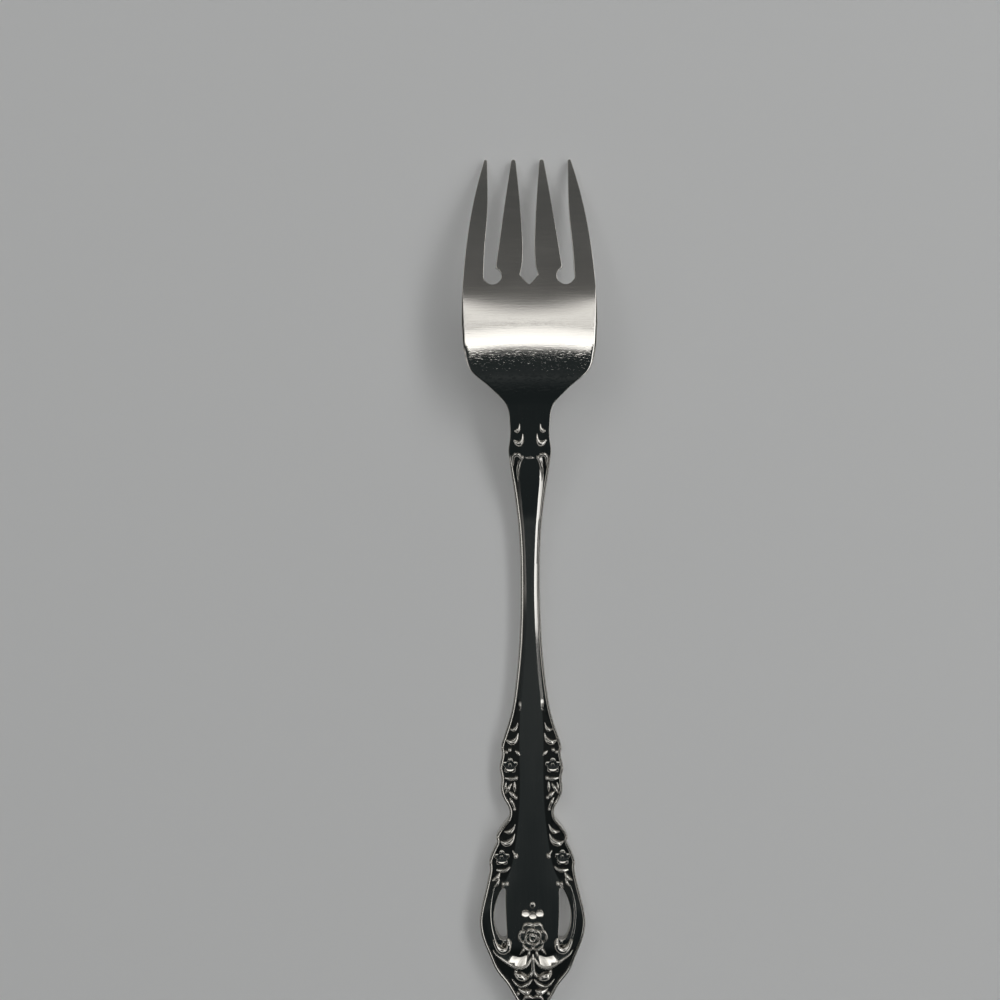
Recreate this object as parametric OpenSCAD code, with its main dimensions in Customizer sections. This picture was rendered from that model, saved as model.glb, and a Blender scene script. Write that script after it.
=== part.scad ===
// Salad fork with a pierced, ornamented handle, lying face down with its back up.
// One stamping of stainless steel, drawn as named zones that meet face to face.
// X runs across the fork, Y from the handle end to the tine tips, and Z up. Sizes are in millimetres.
// A station is a distance from the tine tips along the fork.

/* [Overall] */
// Length from the tine tips to the handle end
overall_length = 159; // [140:1:195]
// Height of the highest point of the head's back above the table
crown_height = 9.4; // [7.5:0.1:11.5]
// Distance from the tine tips to that highest point
crown_at = 37; // [34:0.5:40]

/* [Head] */
// Width of the head at its widest
head_width = 24.4; // [20:0.2:30]
// Distance from the tine tips to the widest place
head_widest_at = 31.6; // [29:0.2:34]
// Distance from the tine tips to the end of the head, where the neck starts
head_length = 46; // [44:0.5:48]
// Distance across the outer sides of the two outer tips
tip_span = 16; // [14.6:0.2:19]

/* [Tines] */
// Length of the tines, from their tips to the ends of the slots
tine_length = 24.4; // [22:0.2:26]
// Width of an outer tine at its tip
outer_tip_width = 0.6; // [0.5:0.1:0.8]
// Width of an inner tine at its tip
inner_tip_width = 0.8; // [0.6:0.1:1]
// Distance between the two inner tips, inside to inside
inner_tip_gap = 4.4; // [3.8:0.1:5]
// Radius of the round end of the two side slots
keyhole_radius = 1.6; // [1.3:0.1:1.8]
// Distance between the centres of the two round slot ends
keyhole_spacing = 13.2; // [12.4:0.2:14]
// Width of the middle slot at its narrowest
middle_slot_width = 2.1; // [1.6:0.1:2.6]
// Width of the spade-shaped end of the middle slot
spade_width = 3.2; // [2.8:0.1:4]

/* [Neck and shank] */
// Width of the neck above its knuckle
neck_width = 7.3; // [6.2:0.1:8.6]
// Width of the knuckle where the neck meets the shank
knuckle_width = 7.8; // [6.8:0.1:9.4]
// Width of the shank at its thinnest
shank_width = 3.6; // [3:0.1:4.4]
// Distance from the tine tips to the end of the neck
neck_end_at = 59; // [57:0.5:61]
// Width of the raised rim along each edge of the shank and the handle
rim_width = 0.5; // [0.4:0.05:0.6]

/* [Handle] */
// Width of the handle at the pierced slots
handle_width = 19.5; // [18.6:0.1:23.4]
// Width of the upper shoulders
shoulder_width = 12; // [11:0.1:14.4]
// Width of the waist between the shoulders and the pierced end
waist_width = 8.2; // [7.6:0.1:10]
// Width of the smooth panel beside the upper rosettes
panel_width = 4.2; // [3.5:0.1:5]
// Width of each pierced slot
slot_width = 2.2; // [1.8:0.1:2.6]
// Length of each pierced slot, from one round end to the other
slot_length = 9.4; // [7.8:0.1:10.4]
// Radius of the bow that each pierced slot follows
slot_radius = 12.5; // [11:0.5:15]
// Width of each rail, from its pierced slot to the handle's edge, at the widest
rail_width = 2.7; // [2.3:0.05:3.1]
// Distance from the handle end to the middle of the slots
slot_from_end = 19.6; // [19:0.1:20.2]
// Distance from the handle end to the start of the smooth panel, where the shank ends
panel_from_end = 57; // [55:0.5:60]
// Distance from the handle end to the middle of the upper shoulders and their rosettes
shoulder_from_end = 46.4; // [45.4:0.1:47.4]
// Distance from the handle end to the waist
waist_from_end = 37.9; // [37.6:0.1:39]
// Distance from the handle end to the lower rosettes
lower_rosette_from_end = 29.6; // [29.2:0.1:30.2]
// Distance from the handle end to the rose
rose_from_end = 15.6; // [15.2:0.1:16]

/* [Thickness] */
// Thickness of the metal at the tine tips
tip_thickness = 1; // [0.8:0.1:1.2]
// Thickness of the metal in the head
head_thickness = 1.9; // [1.6:0.1:2.3]
// Thickness of the metal in the neck
neck_thickness = 2.7; // [2.3:0.1:3.2]
// Thickness of the metal in the shank and the handle
shank_thickness = 2.5; // [2.1:0.1:3]
// Thickness of the metal at the handle end
end_thickness = 2.2; // [1.8:0.1:2.6]

/* [Rest] */
// Distance from the handle end to the middle of the flat that the handle rests on
rest_from_end = 59; // [55:1:63]
// Radius of the long curve of the handle
handle_radius = 900; // [700:50:1200]
// Depth of the flat struck on the underside of the handle
rest_flat = 0.08; // [0.05:0.01:0.12]

/* [Relief] */
// Height of the raised husks, scrolls and leaves above the back
relief_height = 0.6; // [0.5:0.05:0.75]
// Height of the rosettes, the rail scrolls and the lobes at the handle end
rosette_height = 0.75; // [0.65:0.05:0.9]
// Height of the large rose
rose_height = 1; // [0.8:0.05:1.2]
// Height of the rims along the edges
rim_height = 0.3; // [0.2:0.05:0.4]
// Radius of the large rose
rose_radius = 2.6; // [2.2:0.1:3.1]
// Radius of the four small rosettes
rosette_radius = 1.4; // [1.2:0.1:1.7]
// Number of petals in each ring of a flower
petals = 5; // [4:1:7]

/* [Hidden] */
$fn = 48;
steel = "#9c9a97";
left = -1;
right = 1;

// Stations of the borders between zones, and of the handle's features, which are set out from its end
root_margin = 0.8;
slot_margin = 1.4;
heel_run = 9;
slot_half = slot_length / 2;
tine_root_at = tine_length + root_margin;
shank_level_at = neck_end_at + heel_run;
panel_at = overall_length - panel_from_end;
rest_at = overall_length - rest_from_end;
shoulder_at = overall_length - shoulder_from_end;
waist_at = overall_length - waist_from_end;
lower_rosette_at = overall_length - lower_rosette_from_end;
slot_at = overall_length - slot_from_end;
rail_at = slot_at - slot_half - slot_margin;
handle_tip_at = slot_at + slot_half + slot_margin;
rose_at = overall_length - rose_from_end;

// Steps of the polylines that stand for the long side curve and for the outline
profile_step = 2;
outline_step = 0.5;

// Height of a cutting body, and how far it starts below the table
tall = 40;
sunk = 1;

// Shape helpers
function between(a, b, share) = a + (b - a) * share;
function smooth(u) = u * u * (3 - 2 * u);
function y_of(station) = overall_length / 2 - station;
function along_shank(share) = between(neck_end_at, panel_at, share);
function arc_radius(half_chord, bow) = (half_chord * half_chord + bow * bow) / (2 * bow);

// Smooth curve through [station, value] points, with the mean slope at each point
function secant(points, i) = (points[i + 1][1] - points[i][1]) / (points[i + 1][0] - points[i][0]);
function slope_at(points, i) =
  i == 0 ? secant(points, 0)
  : i == len(points) - 1 ? secant(points, i - 1)
  : (secant(points, i - 1) + secant(points, i)) / 2;
function span_of(points, s, i = 0) =
  i >= len(points) - 2 || s <= points[i + 1][0] ? i : span_of(points, s, i + 1);
function hermite(p, q, mp, mq, u, run) =
  p * (1 - smooth(u)) + q * smooth(u) + run * u * (1 - u) * (mp * (1 - u) - mq * u);
function curve(points, s) =
  let (i = span_of(points, s), run = points[i + 1][0] - points[i][0], u = (s - points[i][0]) / run)
  hermite(points[i][1], points[i + 1][1], slope_at(points, i), slope_at(points, i + 1), u, run);

// Stations from a to b that include every corner of a polyline between them
corner_gap = 0.01;
function stations(a, b, step) = concat(
  [a], [for (s = [0:step:overall_length]) if (s > a + corner_gap && s < b - corner_gap) s], [b]
);

// Side view of the back: an arc over the tines, an ogee down the heel and neck, and the handle's long curve
tine_drop = crown_height - tip_thickness;
tine_radius = arc_radius(crown_at, tine_drop);
heel_length = shank_level_at - crown_at;
function handle_back(s) = shank_thickness - rest_flat + pow(s - rest_at, 2) / (2 * handle_radius);
function tine_back(s) = crown_height - tine_radius + sqrt(pow(tine_radius, 2) - pow(crown_at - s, 2));
function heel_back(s) = between(crown_height, handle_back(s), smooth((s - crown_at) / heel_length));
function true_back(s) = s < crown_at ? tine_back(s) : s < shank_level_at ? heel_back(s) : handle_back(s);

// Thickness of the plate along the fork, and the front that it gives, flat where the handle rests
thickness_points = [
  [0, tip_thickness], [crown_at * 0.55, between(tip_thickness, head_thickness, 0.75)],
  [crown_at, head_thickness], [head_length + 5, neck_thickness], [shank_level_at, shank_thickness],
  [handle_tip_at, shank_thickness], [overall_length, end_thickness]
];
back_line = [for (s = stations(0, overall_length, profile_step)) [s, true_back(s)]];
front_line = [for (p = back_line) [p[0], max(0, p[1] - lookup(p[0], thickness_points))]];
function back(s) = lookup(s, back_line);
function front(s) = lookup(s, front_line);
function tilt(s) = atan(back(s - 0.5) - back(s + 0.5));

// Top view: half the width of the fork along its length
head_half = head_width / 2;
neck_half = neck_width / 2;
knuckle_half = knuckle_width / 2;
shank_half = shank_width / 2;
shoulder_half = shoulder_width / 2;
waist_half = waist_width / 2;
handle_half = handle_width / 2;
function heel_half(share) = between(neck_half, head_half, share);
function stem_half(share) = between(shank_half, knuckle_half, share);
function flare_half(share) = between(shank_half, shoulder_half, share);
function upper_waist_half(share) = between(waist_half, shoulder_half, share);
function lower_waist_half(share) = between(waist_half, handle_half, share);
function head_edge(s) = head_half - (head_half - tip_span / 2) * pow(1 - s / head_widest_at, 2);
stem_points = [
  [head_widest_at, head_half], [head_length - 9, heel_half(0.94)], [head_length - 6, heel_half(0.81)],
  [head_length - 3, heel_half(0.41)], [head_length, heel_half(0.08)], [head_length + 3.5, neck_half],
  [neck_end_at - 7, neck_half], [neck_end_at - 5, knuckle_half], [neck_end_at - 2.5, stem_half(0.9)],
  [along_shank(0.07), stem_half(0.5)], [along_shank(0.23), stem_half(0.13)], [along_shank(0.465), shank_half],
  [along_shank(0.72), flare_half(0.08)], [along_shank(0.907), flare_half(0.27)],
  [panel_at + 2.5, flare_half(0.58)], [shoulder_at - 4, flare_half(0.89)], [shoulder_at, shoulder_half],
  [waist_at - 4.2, upper_waist_half(0.83)], [waist_at - 2.8, upper_waist_half(0.58)],
  [waist_at - 1.5, upper_waist_half(0.18)], [waist_at, waist_half], [waist_at + 1.5, lower_waist_half(0.13)],
  [waist_at + 3.3, lower_waist_half(0.37)], [waist_at + 6.5, lower_waist_half(0.55)],
  [waist_at + 9.5, lower_waist_half(0.68)],
  [slot_at - 5, lower_waist_half(0.79)], [slot_at - 1.4, lower_waist_half(0.95)], [slot_at + 1, handle_half],
  [slot_at + 4.4, handle_half * 0.945], [overall_length - 12.1, handle_half * 0.82],
  [overall_length - 8.9, handle_half * 0.65], [overall_length - 5.9, handle_half * 0.43],
  [overall_length - 3.8, handle_half * 0.29], [overall_length - 1.2, handle_half * 0.15],
  [overall_length, handle_half * 0.04]
];
outline_line = [
  for (s = stations(0, overall_length, outline_step))
    [s, s < head_widest_at ? head_edge(s) : curve(stem_points, s)]
];
function outline(s) = lookup(s, outline_line);

// Border between the smooth panel and the shoulders, and then along the middle of the slots
panel_half = panel_width / 2;
slot_reach = handle_half - rail_width - slot_width / 2;
slot_sweep = (slot_length - slot_width) / slot_radius * 180 / PI;
slot_end_x = slot_reach - slot_radius * (1 - cos(slot_sweep / 2));
panel_points = [
  [panel_at - 1, panel_half * 0.9], [shoulder_at - 6, panel_half], [shoulder_at + 4, panel_half],
  [waist_at + 1.6, panel_half * 1.14], [waist_at + 6, panel_half * 1.4], [rail_at - 2, panel_half * 1.85],
  [slot_at - slot_half, slot_end_x], [slot_at, slot_reach], [slot_at + slot_half, slot_end_x],
  [handle_tip_at + 1, slot_end_x - 0.2]
];
panel_line = [for (s = stations(panel_at, handle_tip_at, outline_step)) [s, curve(panel_points, s)]];
function panel_edge(s) = lookup(s, panel_line);

// Middle of the border that carries the ornament, between the panel and the rim, and its half width square
// to the leaning rim
function edge_lean(s) = atan(outline(s + 0.5) - outline(s - 0.5));
function border_middle(s) = (panel_edge(s) + outline(s) - rim_width) / 2;
function border_half(s) = (outline(s) - rim_width - panel_edge(s)) / 2 * cos(edge_lean(s));

// Outline through the points of one edge, and back through those of the other
function loop(there, back_again) = concat(there, [for (i = [len(back_again) - 1:-1:0]) back_again[i]]);

// Slab between two heights, from one station to another, across the whole fork
module slab(a, b, low, high) {
  line = stations(a, b, profile_step);
  side = loop([for (s = line) [y_of(s), high(s)]], [for (s = line) [y_of(s), low(s)]]);
  rotate([90, 0, 90]) linear_extrude(height = tall, center = true) polygon(side);
}

// Upright prism through everything, with the given plan
module upright(plan) {
  translate([0, 0, -sunk]) linear_extrude(height = tall) polygon(plan);
}

// Upright prism between two edges, each given as x at a station
module prism(a, b, inner, outer) {
  line = stations(a, b, outline_step);
  upright(loop([for (s = line) [inner(s), y_of(s)]], [for (s = line) [outer(s), y_of(s)]]));
}

// Piece of the stamped plate between two edges
module plate(a, b, inner, outer) {
  intersection() {
    prism(a, b, inner, outer);
    slab(a, b, function(s) front(s), function(s) back(s));
  }
}

// Piece of the plate from edge to edge
module full_plate(a, b) {
  plate(a, b, function(s) -outline(s), function(s) outline(s));
}

// Keeps what stands above the back, up to a height, between two stations
module on_back(a, b, rise = tall / 4) {
  intersection() {
    union() children();
    slab(a, b, function(s) back(s), function(s) back(s) + rise);
  }
}

// Puts a small ornament on the back, square to the surface there
module seat(x, station) {
  translate([x, y_of(station), back(station)]) rotate([tilt(station), 0, 0]) children();
}

// Low dome with a round foot, and its height at a distance from its middle
function dome_height(radius, high, reach) =
  high - arc_radius(radius, high) + sqrt(pow(arc_radius(radius, high), 2) - reach * reach);
module dome(radius, high) {
  ball = arc_radius(radius, high);
  translate([0, 0, high - ball]) sphere(ball);
}

// Domed crescent that bows towards -Y, with its hollow cut by an upright cylinder
hollow_shift = 0.62;
hollow_size = 0.82;
module crescent(radius, high) {
  difference() {
    dome(radius, high);
    translate([0, radius * hollow_shift, -tall / 2]) cylinder(r = radius * hollow_size, h = tall);
  }
}

// Dome with a ring groove at each given share of its radius
groove_radius = 0.28;
module ringed_dome(radius, high, rings) {
  difference() {
    dome(radius, high);
    for (place = rings) translate([0, 0, dome_height(radius, high, radius * place)])
      rotate_extrude() translate([radius * place, 0]) circle(groove_radius);
  }
}

// Scroll end: a dome with one ring round its eye
module volute(radius, high) ringed_dome(radius, high, [0.55]);

// Flower: a ringed dome whose edge is notched between the petals
notch_place = 1.08;
notch_size = 0.27;
module flower(radius, high, rings) {
  difference() {
    ringed_dome(radius, high, rings);
    for (i = [0:petals - 1]) rotate([0, 0, 360 * (i + 0.5) / petals + 90])
      translate([radius * notch_place, 0, -tall / 2]) cylinder(r = radius * notch_size, h = tall);
  }
}

// Side slot with its round end, which undercuts the hooked root of the inner tine
keyhole_x = keyhole_spacing / 2;
keyhole_at = tine_length - keyhole_radius;
outer_tip_inside = tip_span / 2 - outer_tip_width;
inner_tip_outside = inner_tip_gap / 2 + inner_tip_width;
past_tip = -1;
module side_slot(side) {
  half_plan = [
    [inner_tip_outside, past_tip], [keyhole_x - keyhole_radius * 0.35, keyhole_at - keyhole_radius * 0.9],
    [keyhole_x, keyhole_at], [keyhole_x + keyhole_radius, keyhole_at],
    [keyhole_x + keyhole_radius * 0.87, keyhole_at - 4.5], [outer_tip_inside, tine_length * 0.42],
    [outer_tip_inside, past_tip]
  ];
  upright([for (p = half_plan) [side * p[0], y_of(p[1])]]);
  translate([side * keyhole_x, y_of(keyhole_at), -sunk]) cylinder(r = keyhole_radius, h = tall);
}

// Middle slot with its spade-shaped end
module middle_slot() {
  half_plan = [
    [inner_tip_gap / 2, past_tip], [between(inner_tip_gap, middle_slot_width, 0.8) / 2, tine_length * 0.5],
    [middle_slot_width / 2, tine_length * 0.75],
    [between(middle_slot_width, spade_width, 0.3) / 2, tine_length - 3.6],
    [spade_width / 2, tine_length - 1.8], [spade_width * 0.3, tine_length - 0.7], [0, tine_length]
  ];
  upright(loop([for (p = half_plan) [p[0], y_of(p[1])]], [for (p = half_plan) [-p[0], y_of(p[1])]]));
}

// Pierced slot: part of a ring, with round ends
module pierced_slot(side) {
  turn = side == right ? 0 : 180;
  translate([side * (slot_reach - slot_radius), y_of(slot_at), -sunk]) rotate([0, 0, turn]) {
    rotate([0, 0, -slot_sweep / 2]) rotate_extrude(angle = slot_sweep)
      translate([slot_radius - slot_width / 2, 0]) square([slot_width, tall]);
    for (end = [-1, 1]) rotate([0, 0, end * slot_sweep / 2]) translate([slot_radius, 0, 0])
      cylinder(d = slot_width, h = tall);
  }
}

module outer_tine(side) color(steel) difference() {
  plate(0, tine_root_at, function(s) side * keyhole_x, function(s) side * outline(s));
  side_slot(side);
}

module inner_tine(side) color(steel) difference() {
  plate(0, tine_root_at, function(s) 0, function(s) side * keyhole_x);
  side_slot(side);
  middle_slot();
}

module head() color(steel) full_plate(tine_root_at, head_length);

module neck() color(steel) full_plate(head_length, neck_end_at);

module shank() color(steel) full_plate(neck_end_at, panel_at);

module handle_panel() color(steel) difference() {
  plate(panel_at, handle_tip_at, function(s) -panel_edge(s), function(s) panel_edge(s));
  for (side = [left, right]) pierced_slot(side);
}

module shoulder(side) color(steel)
  plate(panel_at, rail_at, function(s) side * panel_edge(s), function(s) side * outline(s));

module rail(side) color(steel) difference() {
  plate(rail_at, handle_tip_at, function(s) side * panel_edge(s), function(s) side * outline(s));
  pierced_slot(side);
}

module handle_tip() color(steel) full_plate(handle_tip_at, overall_length);

// Raised rim along one edge of the shank and the handle
rim_stop = 2;
module rim(side) color(steel) on_back(neck_end_at, overall_length - rim_stop, rim_height)
  prism(
    neck_end_at, overall_length - rim_stop,
    function(s) side * (outline(s) - rim_width), function(s) side * outline(s)
  );

// Two pairs of cupped scrolls on the neck, and one pair that turns over the start of the shank
scroll_x = neck_half * 0.57;
scroll_turn = 25;
module neck_scrolls() color(steel) on_back(head_length, neck_end_at) for (side = [left, right]) {
  seat(side * scroll_x, neck_end_at - 8.6) rotate([0, 0, side * scroll_turn]) crescent(1, relief_height);
  seat(side * scroll_x, neck_end_at - 5.9) rotate([0, 0, side * scroll_turn]) crescent(1.15, relief_height);
  seat(side * scroll_x, neck_end_at - 3)
    rotate([0, 0, 180 - side * scroll_turn]) crescent(1.15, relief_height);
}

// Cupped husks that climb the border above each rosette, no wider than the border: [station, radius]
husk_turn = 35;
husk_gap = 0.08;
husks = [
  [shoulder_at - 7.4, 0.85], [shoulder_at - 5.4, 1.1],
  [lower_rosette_at - 6, 1.15], [lower_rosette_at - 3.2, 1.5]
];
function fitted(radius, station) = min(radius, border_half(station) - husk_gap);
module shoulder_husks() color(steel) on_back(panel_at, rail_at)
  for (side = [left, right], husk = husks) seat(side * border_middle(husk[0]), husk[0])
    rotate([0, 0, side * husk_turn]) crescent(fitted(husk[1], husk[0]), relief_height);

module rosettes(station) color(steel) on_back(station - rosette_radius * 2, station + rosette_radius * 2)
  for (side = [left, right]) seat(side * border_middle(station), station)
    flower(fitted(rosette_radius, station), rosette_height, [0.5]);

// Leaf strokes that fan out under the upper rosettes, and the scroll that closes them at the waist
leaf_radius = 0.75;
leaf_spread = 0.55;
leaf_turn = 60;
leaf_at = shoulder_at + rosette_radius + leaf_radius + husk_gap;
scroll_at = waist_at - 1.9;
module shoulder_leaves() color(steel) on_back(shoulder_at, waist_at) for (side = [left, right]) {
  for (fan = [left, right]) seat(side * border_middle(leaf_at) + fan * leaf_spread, leaf_at)
    rotate([0, 0, fan * leaf_turn]) crescent(leaf_radius, relief_height);
  seat(side * border_middle(scroll_at), scroll_at) volute(fitted(1.2, scroll_at), relief_height);
}

// Round rib along each rail, half way between the slot and the rim
rib_bow = 1.5;
rib_reach = (slot_reach + slot_width / 2 + handle_half - rim_width) / 2;
rib_radius = arc_radius(slot_half, rib_bow);
rib_sweep = 2 * asin(slot_half / rib_radius);
module rail_ribs() color(steel) on_back(rail_at, handle_tip_at) for (side = [left, right])
  seat(side * (rib_reach - rib_radius), slot_at) rotate([0, 0, (side == right ? 0 : 180) - rib_sweep / 2])
    rotate_extrude(angle = rib_sweep) translate([rib_radius, 0]) circle(relief_height);

// Scroll that curls inwards where each rail ends
volute_radius = 1.2;
volute_at = slot_at + slot_half + volute_radius;
module rail_volutes() color(steel) on_back(volute_at - volute_radius, volute_at + volute_radius)
  for (side = [left, right]) seat(side * slot_end_x, volute_at) volute(volute_radius, rosette_height);

module rose() color(steel) on_back(rose_at - rose_radius * 2, rose_at + rose_radius * 2)
  seat(0, rose_at) flower(rose_radius, rose_height, [0.3, 0.6]);

// Bud and three leaves above the rose
bud_at = rose_at - rose_radius - 1.9;
module rose_bud() color(steel) on_back(bud_at - 2, rose_at - rose_radius) seat(0, bud_at) {
  sphere(relief_height);
  for (fan = [-1, 0, 1]) translate([fan * 1.05, -0.95, 0]) sphere(relief_height * 0.85);
}

// Three tiers of paired lobes that close the handle end: [station, radius]
lobe_place = 0.42;
lobe_turn = 25;
lobes = [[overall_length - 11.4, 1.8], [overall_length - 8.2, 1.35], [overall_length - 5.6, 0.95]];
module tip_lobes() color(steel) on_back(handle_tip_at, overall_length)
  for (side = [left, right], lobe = lobes) seat(side * outline(lobe[0]) * lobe_place, lobe[0])
    rotate([0, 0, side * lobe_turn]) crescent(lobe[1], rosette_height);

outer_tine(left);  // outer_tine_left
inner_tine(left);  // inner_tine_left
inner_tine(right);  // inner_tine_right
outer_tine(right);  // outer_tine_right
head();
neck();
shank();
handle_panel();
shoulder(left);  // left_shoulder
shoulder(right);  // right_shoulder
rail(left);  // left_rail
rail(right);  // right_rail
handle_tip();
rim(left);  // left_rim
rim(right);  // right_rim
neck_scrolls();
shoulder_husks();
rosettes(shoulder_at);  // upper_rosettes
shoulder_leaves();
rosettes(lower_rosette_at);  // lower_rosettes
rail_ribs();
rail_volutes();
rose();
rose_bud();
tip_lobes();
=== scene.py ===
# %% [markdown]
# # A salad fork, lying face down
# The real fork is stamped from one strip of stainless steel: a flat blank is cut out, its ornament is
# struck between two dies, and a press bends it to its arch. This lesson follows the same order. The blank
# is drawn flat, the relief is laid on it flat, and one Geometry Nodes tree then bends every piece alike.

import math

import bpy
import numpy as np
from mathutils.geometry import delaunay_2d_cdt
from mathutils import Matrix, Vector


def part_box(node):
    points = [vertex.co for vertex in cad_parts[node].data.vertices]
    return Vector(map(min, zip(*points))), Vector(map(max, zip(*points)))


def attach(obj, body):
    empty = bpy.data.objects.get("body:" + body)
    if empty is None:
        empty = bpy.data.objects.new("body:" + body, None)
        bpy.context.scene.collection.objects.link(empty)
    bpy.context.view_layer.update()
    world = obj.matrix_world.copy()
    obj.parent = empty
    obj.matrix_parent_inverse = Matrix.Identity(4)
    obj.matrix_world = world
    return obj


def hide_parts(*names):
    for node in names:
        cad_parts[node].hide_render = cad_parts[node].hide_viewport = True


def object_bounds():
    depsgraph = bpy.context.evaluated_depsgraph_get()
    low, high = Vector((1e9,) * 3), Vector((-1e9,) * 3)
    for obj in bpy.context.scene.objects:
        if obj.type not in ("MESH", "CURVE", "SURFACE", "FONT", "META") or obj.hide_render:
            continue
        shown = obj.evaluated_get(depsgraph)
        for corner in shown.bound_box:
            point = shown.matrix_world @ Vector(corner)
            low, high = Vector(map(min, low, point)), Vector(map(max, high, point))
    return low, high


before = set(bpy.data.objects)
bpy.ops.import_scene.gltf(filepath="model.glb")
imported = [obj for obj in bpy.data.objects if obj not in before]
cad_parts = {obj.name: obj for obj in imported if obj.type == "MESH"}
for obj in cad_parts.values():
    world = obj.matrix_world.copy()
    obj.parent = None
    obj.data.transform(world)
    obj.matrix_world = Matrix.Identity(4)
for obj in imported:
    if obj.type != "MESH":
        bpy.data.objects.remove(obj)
cad_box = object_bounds()
MM = 0.001
print("CAD nodes:", len(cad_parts), "box in mm:", [round(v / MM, 1) for v in cad_box[1] - cad_box[0]])

# %% [markdown]
# ## Stations along the fork
# A silversmith measures a fork from its tine tips. So does this script: a *station* is a distance in
# millimetres from the tips, and the seams between the CAD zones give the main ones. Everything flat is then
# a point (x, station), with a height over the back of the fork.

# %% Stations of the main seams
half_length = cad_box[1].y / MM


def station_of(node, end):
    """Station of a node's end that is nearer the tips (1) or nearer the handle's end (0)."""
    return half_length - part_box(node)[end].y / MM


length = 2 * half_length
tine_root = station_of("head", 1)
head_end = station_of("head", 0)
neck_end = station_of("neck", 0)
panel_from = station_of("handle_panel", 1)
rail_from = station_of("left_rail", 1)
tip_from = station_of("handle_tip", 1)
crown_at = 37.0
seams_at = [tine_root, head_end, neck_end, panel_from, rail_from, tip_from]
head_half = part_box("head")[1].x / MM
handle_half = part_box("right_rail")[1].x / MM
print("stations of the seams:", [round(v, 1) for v in seams_at], "of the end:", round(length, 1))

# %% [markdown]
# ## The outline
# The outline is a smooth curve through a few stations where the real edge bends: the widest head, the neck,
# the knuckle, the shank, the two shoulders and the wide end. A cubic that takes its slope from the points
# on both sides needs no handles and never doubles back, so it is easier to steer than a Bezier curve.


# %% A smooth curve through stations
def curve_through(points, station):
    """Value at a station, on a cubic through (station, value) points."""
    at, value = np.array(points, float).T
    secant = np.diff(value) / np.diff(at)
    slope = np.concatenate([secant[:1], (secant[:-1] + secant[1:]) / 2, secant[-1:]])
    station = np.asarray(station, float)
    i = np.clip(np.searchsorted(at, station) - 1, 0, len(at) - 2)
    run = at[i + 1] - at[i]
    u = (station - at[i]) / run
    eased = u * u * (3 - 2 * u)
    bend = run * u * (1 - u) * (slope[i] * (1 - u) - slope[i + 1] * u)
    return value[i] + (value[i + 1] - value[i]) * eased + bend


widest_at = 31.6
tip_half = 8.0
neck_half = 3.65
shank_half = 1.8
waist_half = 4.12
EDGE = [
    (widest_at, head_half), (37, 11.69), (40, 10.58), (43, 7.16), (head_end, 4.33),
    (49.5, neck_half), (52, neck_half), (54, 3.9), (56.5, 3.69), (62, 2.85), (68.9, 2.07),
    (79, shank_half), (90, 2.14), (98, 2.93), (102.3, 3.62), (104.5, 4.22), (106.7, 4.95), (108.9, 5.6),
    (110, 5.44), (112.7, 5.9), (114.4, 5.62), (116.9, 5.68), (118.3, 5.22), (119.3, 4.62), (120.2, 4.22),
    (121.1, waist_half), (122, 4.36), (122.9, 5.1), (124.1, 6.0), (125.4, 6.6), (126.2, 6.47),
    (127.7, 7.15), (129.9, 7.92), (131, 7.82), (134.3, 8.45), (137, 9.12), (138.7, 9.5),
    (140.8, handle_half), (143.1, 9.45), (145.3, 8.7), (147, 7.95), (149.2, 7.0), (150.3, 6.25),
    (152, 4.85), (153.5, 3.95), (155.2, 2.95), (157.8, 1.46), (length, 0.5),
]


def half_width(station):
    """Half the fork's width at a station, tine gaps and slots left out."""
    station = np.asarray(station, float)
    spread = 1 - np.clip(station / widest_at, 0, 1)
    head = head_half - (head_half - tip_half) * spread**2
    return np.where(station < widest_at, head, curve_through(EDGE, np.maximum(station, widest_at)))


print("half widths at the seams:", half_width(seams_at).round(2))

# %% [markdown]
# ## The raised panel
# A plain panel runs down the middle of the neck, shank and handle. Its edge is a second smooth curve, and
# on the handle it is also the seam between the panel and the shoulders. It could be a body of its own, but
# one curve that the relief, the seams and the points all ask for keeps them in step.

# %% Edge of the panel
slot_at = 139.4
slot_half_length = 4.7
slot_width = 2.2
slot_bow_radius = 12.5
slot_reach = 5.95
slot_end_x = 5.4
PANEL_EDGE = [
    (head_end - 4, 3.2), (50, 1.45), (54, 1.35), (55.6, 1.6), (57.9, 1.8), (63.7, 1.42), (68.9, 1.0),
    (79, 0.68), (90, 0.9), (98.2, 1.5), (panel_from, 1.9), (106.6, 2.1), (116.6, 2.1), (122.2, 2.4),
    (126.6, 2.94), (131.3, 3.9), (slot_at - slot_half_length, slot_end_x), (slot_at, slot_reach),
    (slot_at + slot_half_length, slot_end_x), (146.5, 5.2),
]


def panel_half(station):
    """Half the width of the raised panel at a station."""
    return curve_through(PANEL_EDGE, np.clip(station, PANEL_EDGE[0][0], PANEL_EDGE[-1][0]))


print("panel half widths:", panel_half([56, 79, 110, 130]).round(2))

# %% [markdown]
# ## Cutting the blank
# A die cuts the real blank in one blow. Its edge is one closed loop that runs in and out of the three tine
# gaps, plus two loops for the pierced slots. Each tine gap between an outer and an inner tine ends in a
# round keyhole, and the middle gap ends in a spade. Boolean cuts could open them too, but a drawn edge has
# evenly spaced points all the way round. Only the right half is drawn: the left is its mirror image.

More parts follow.
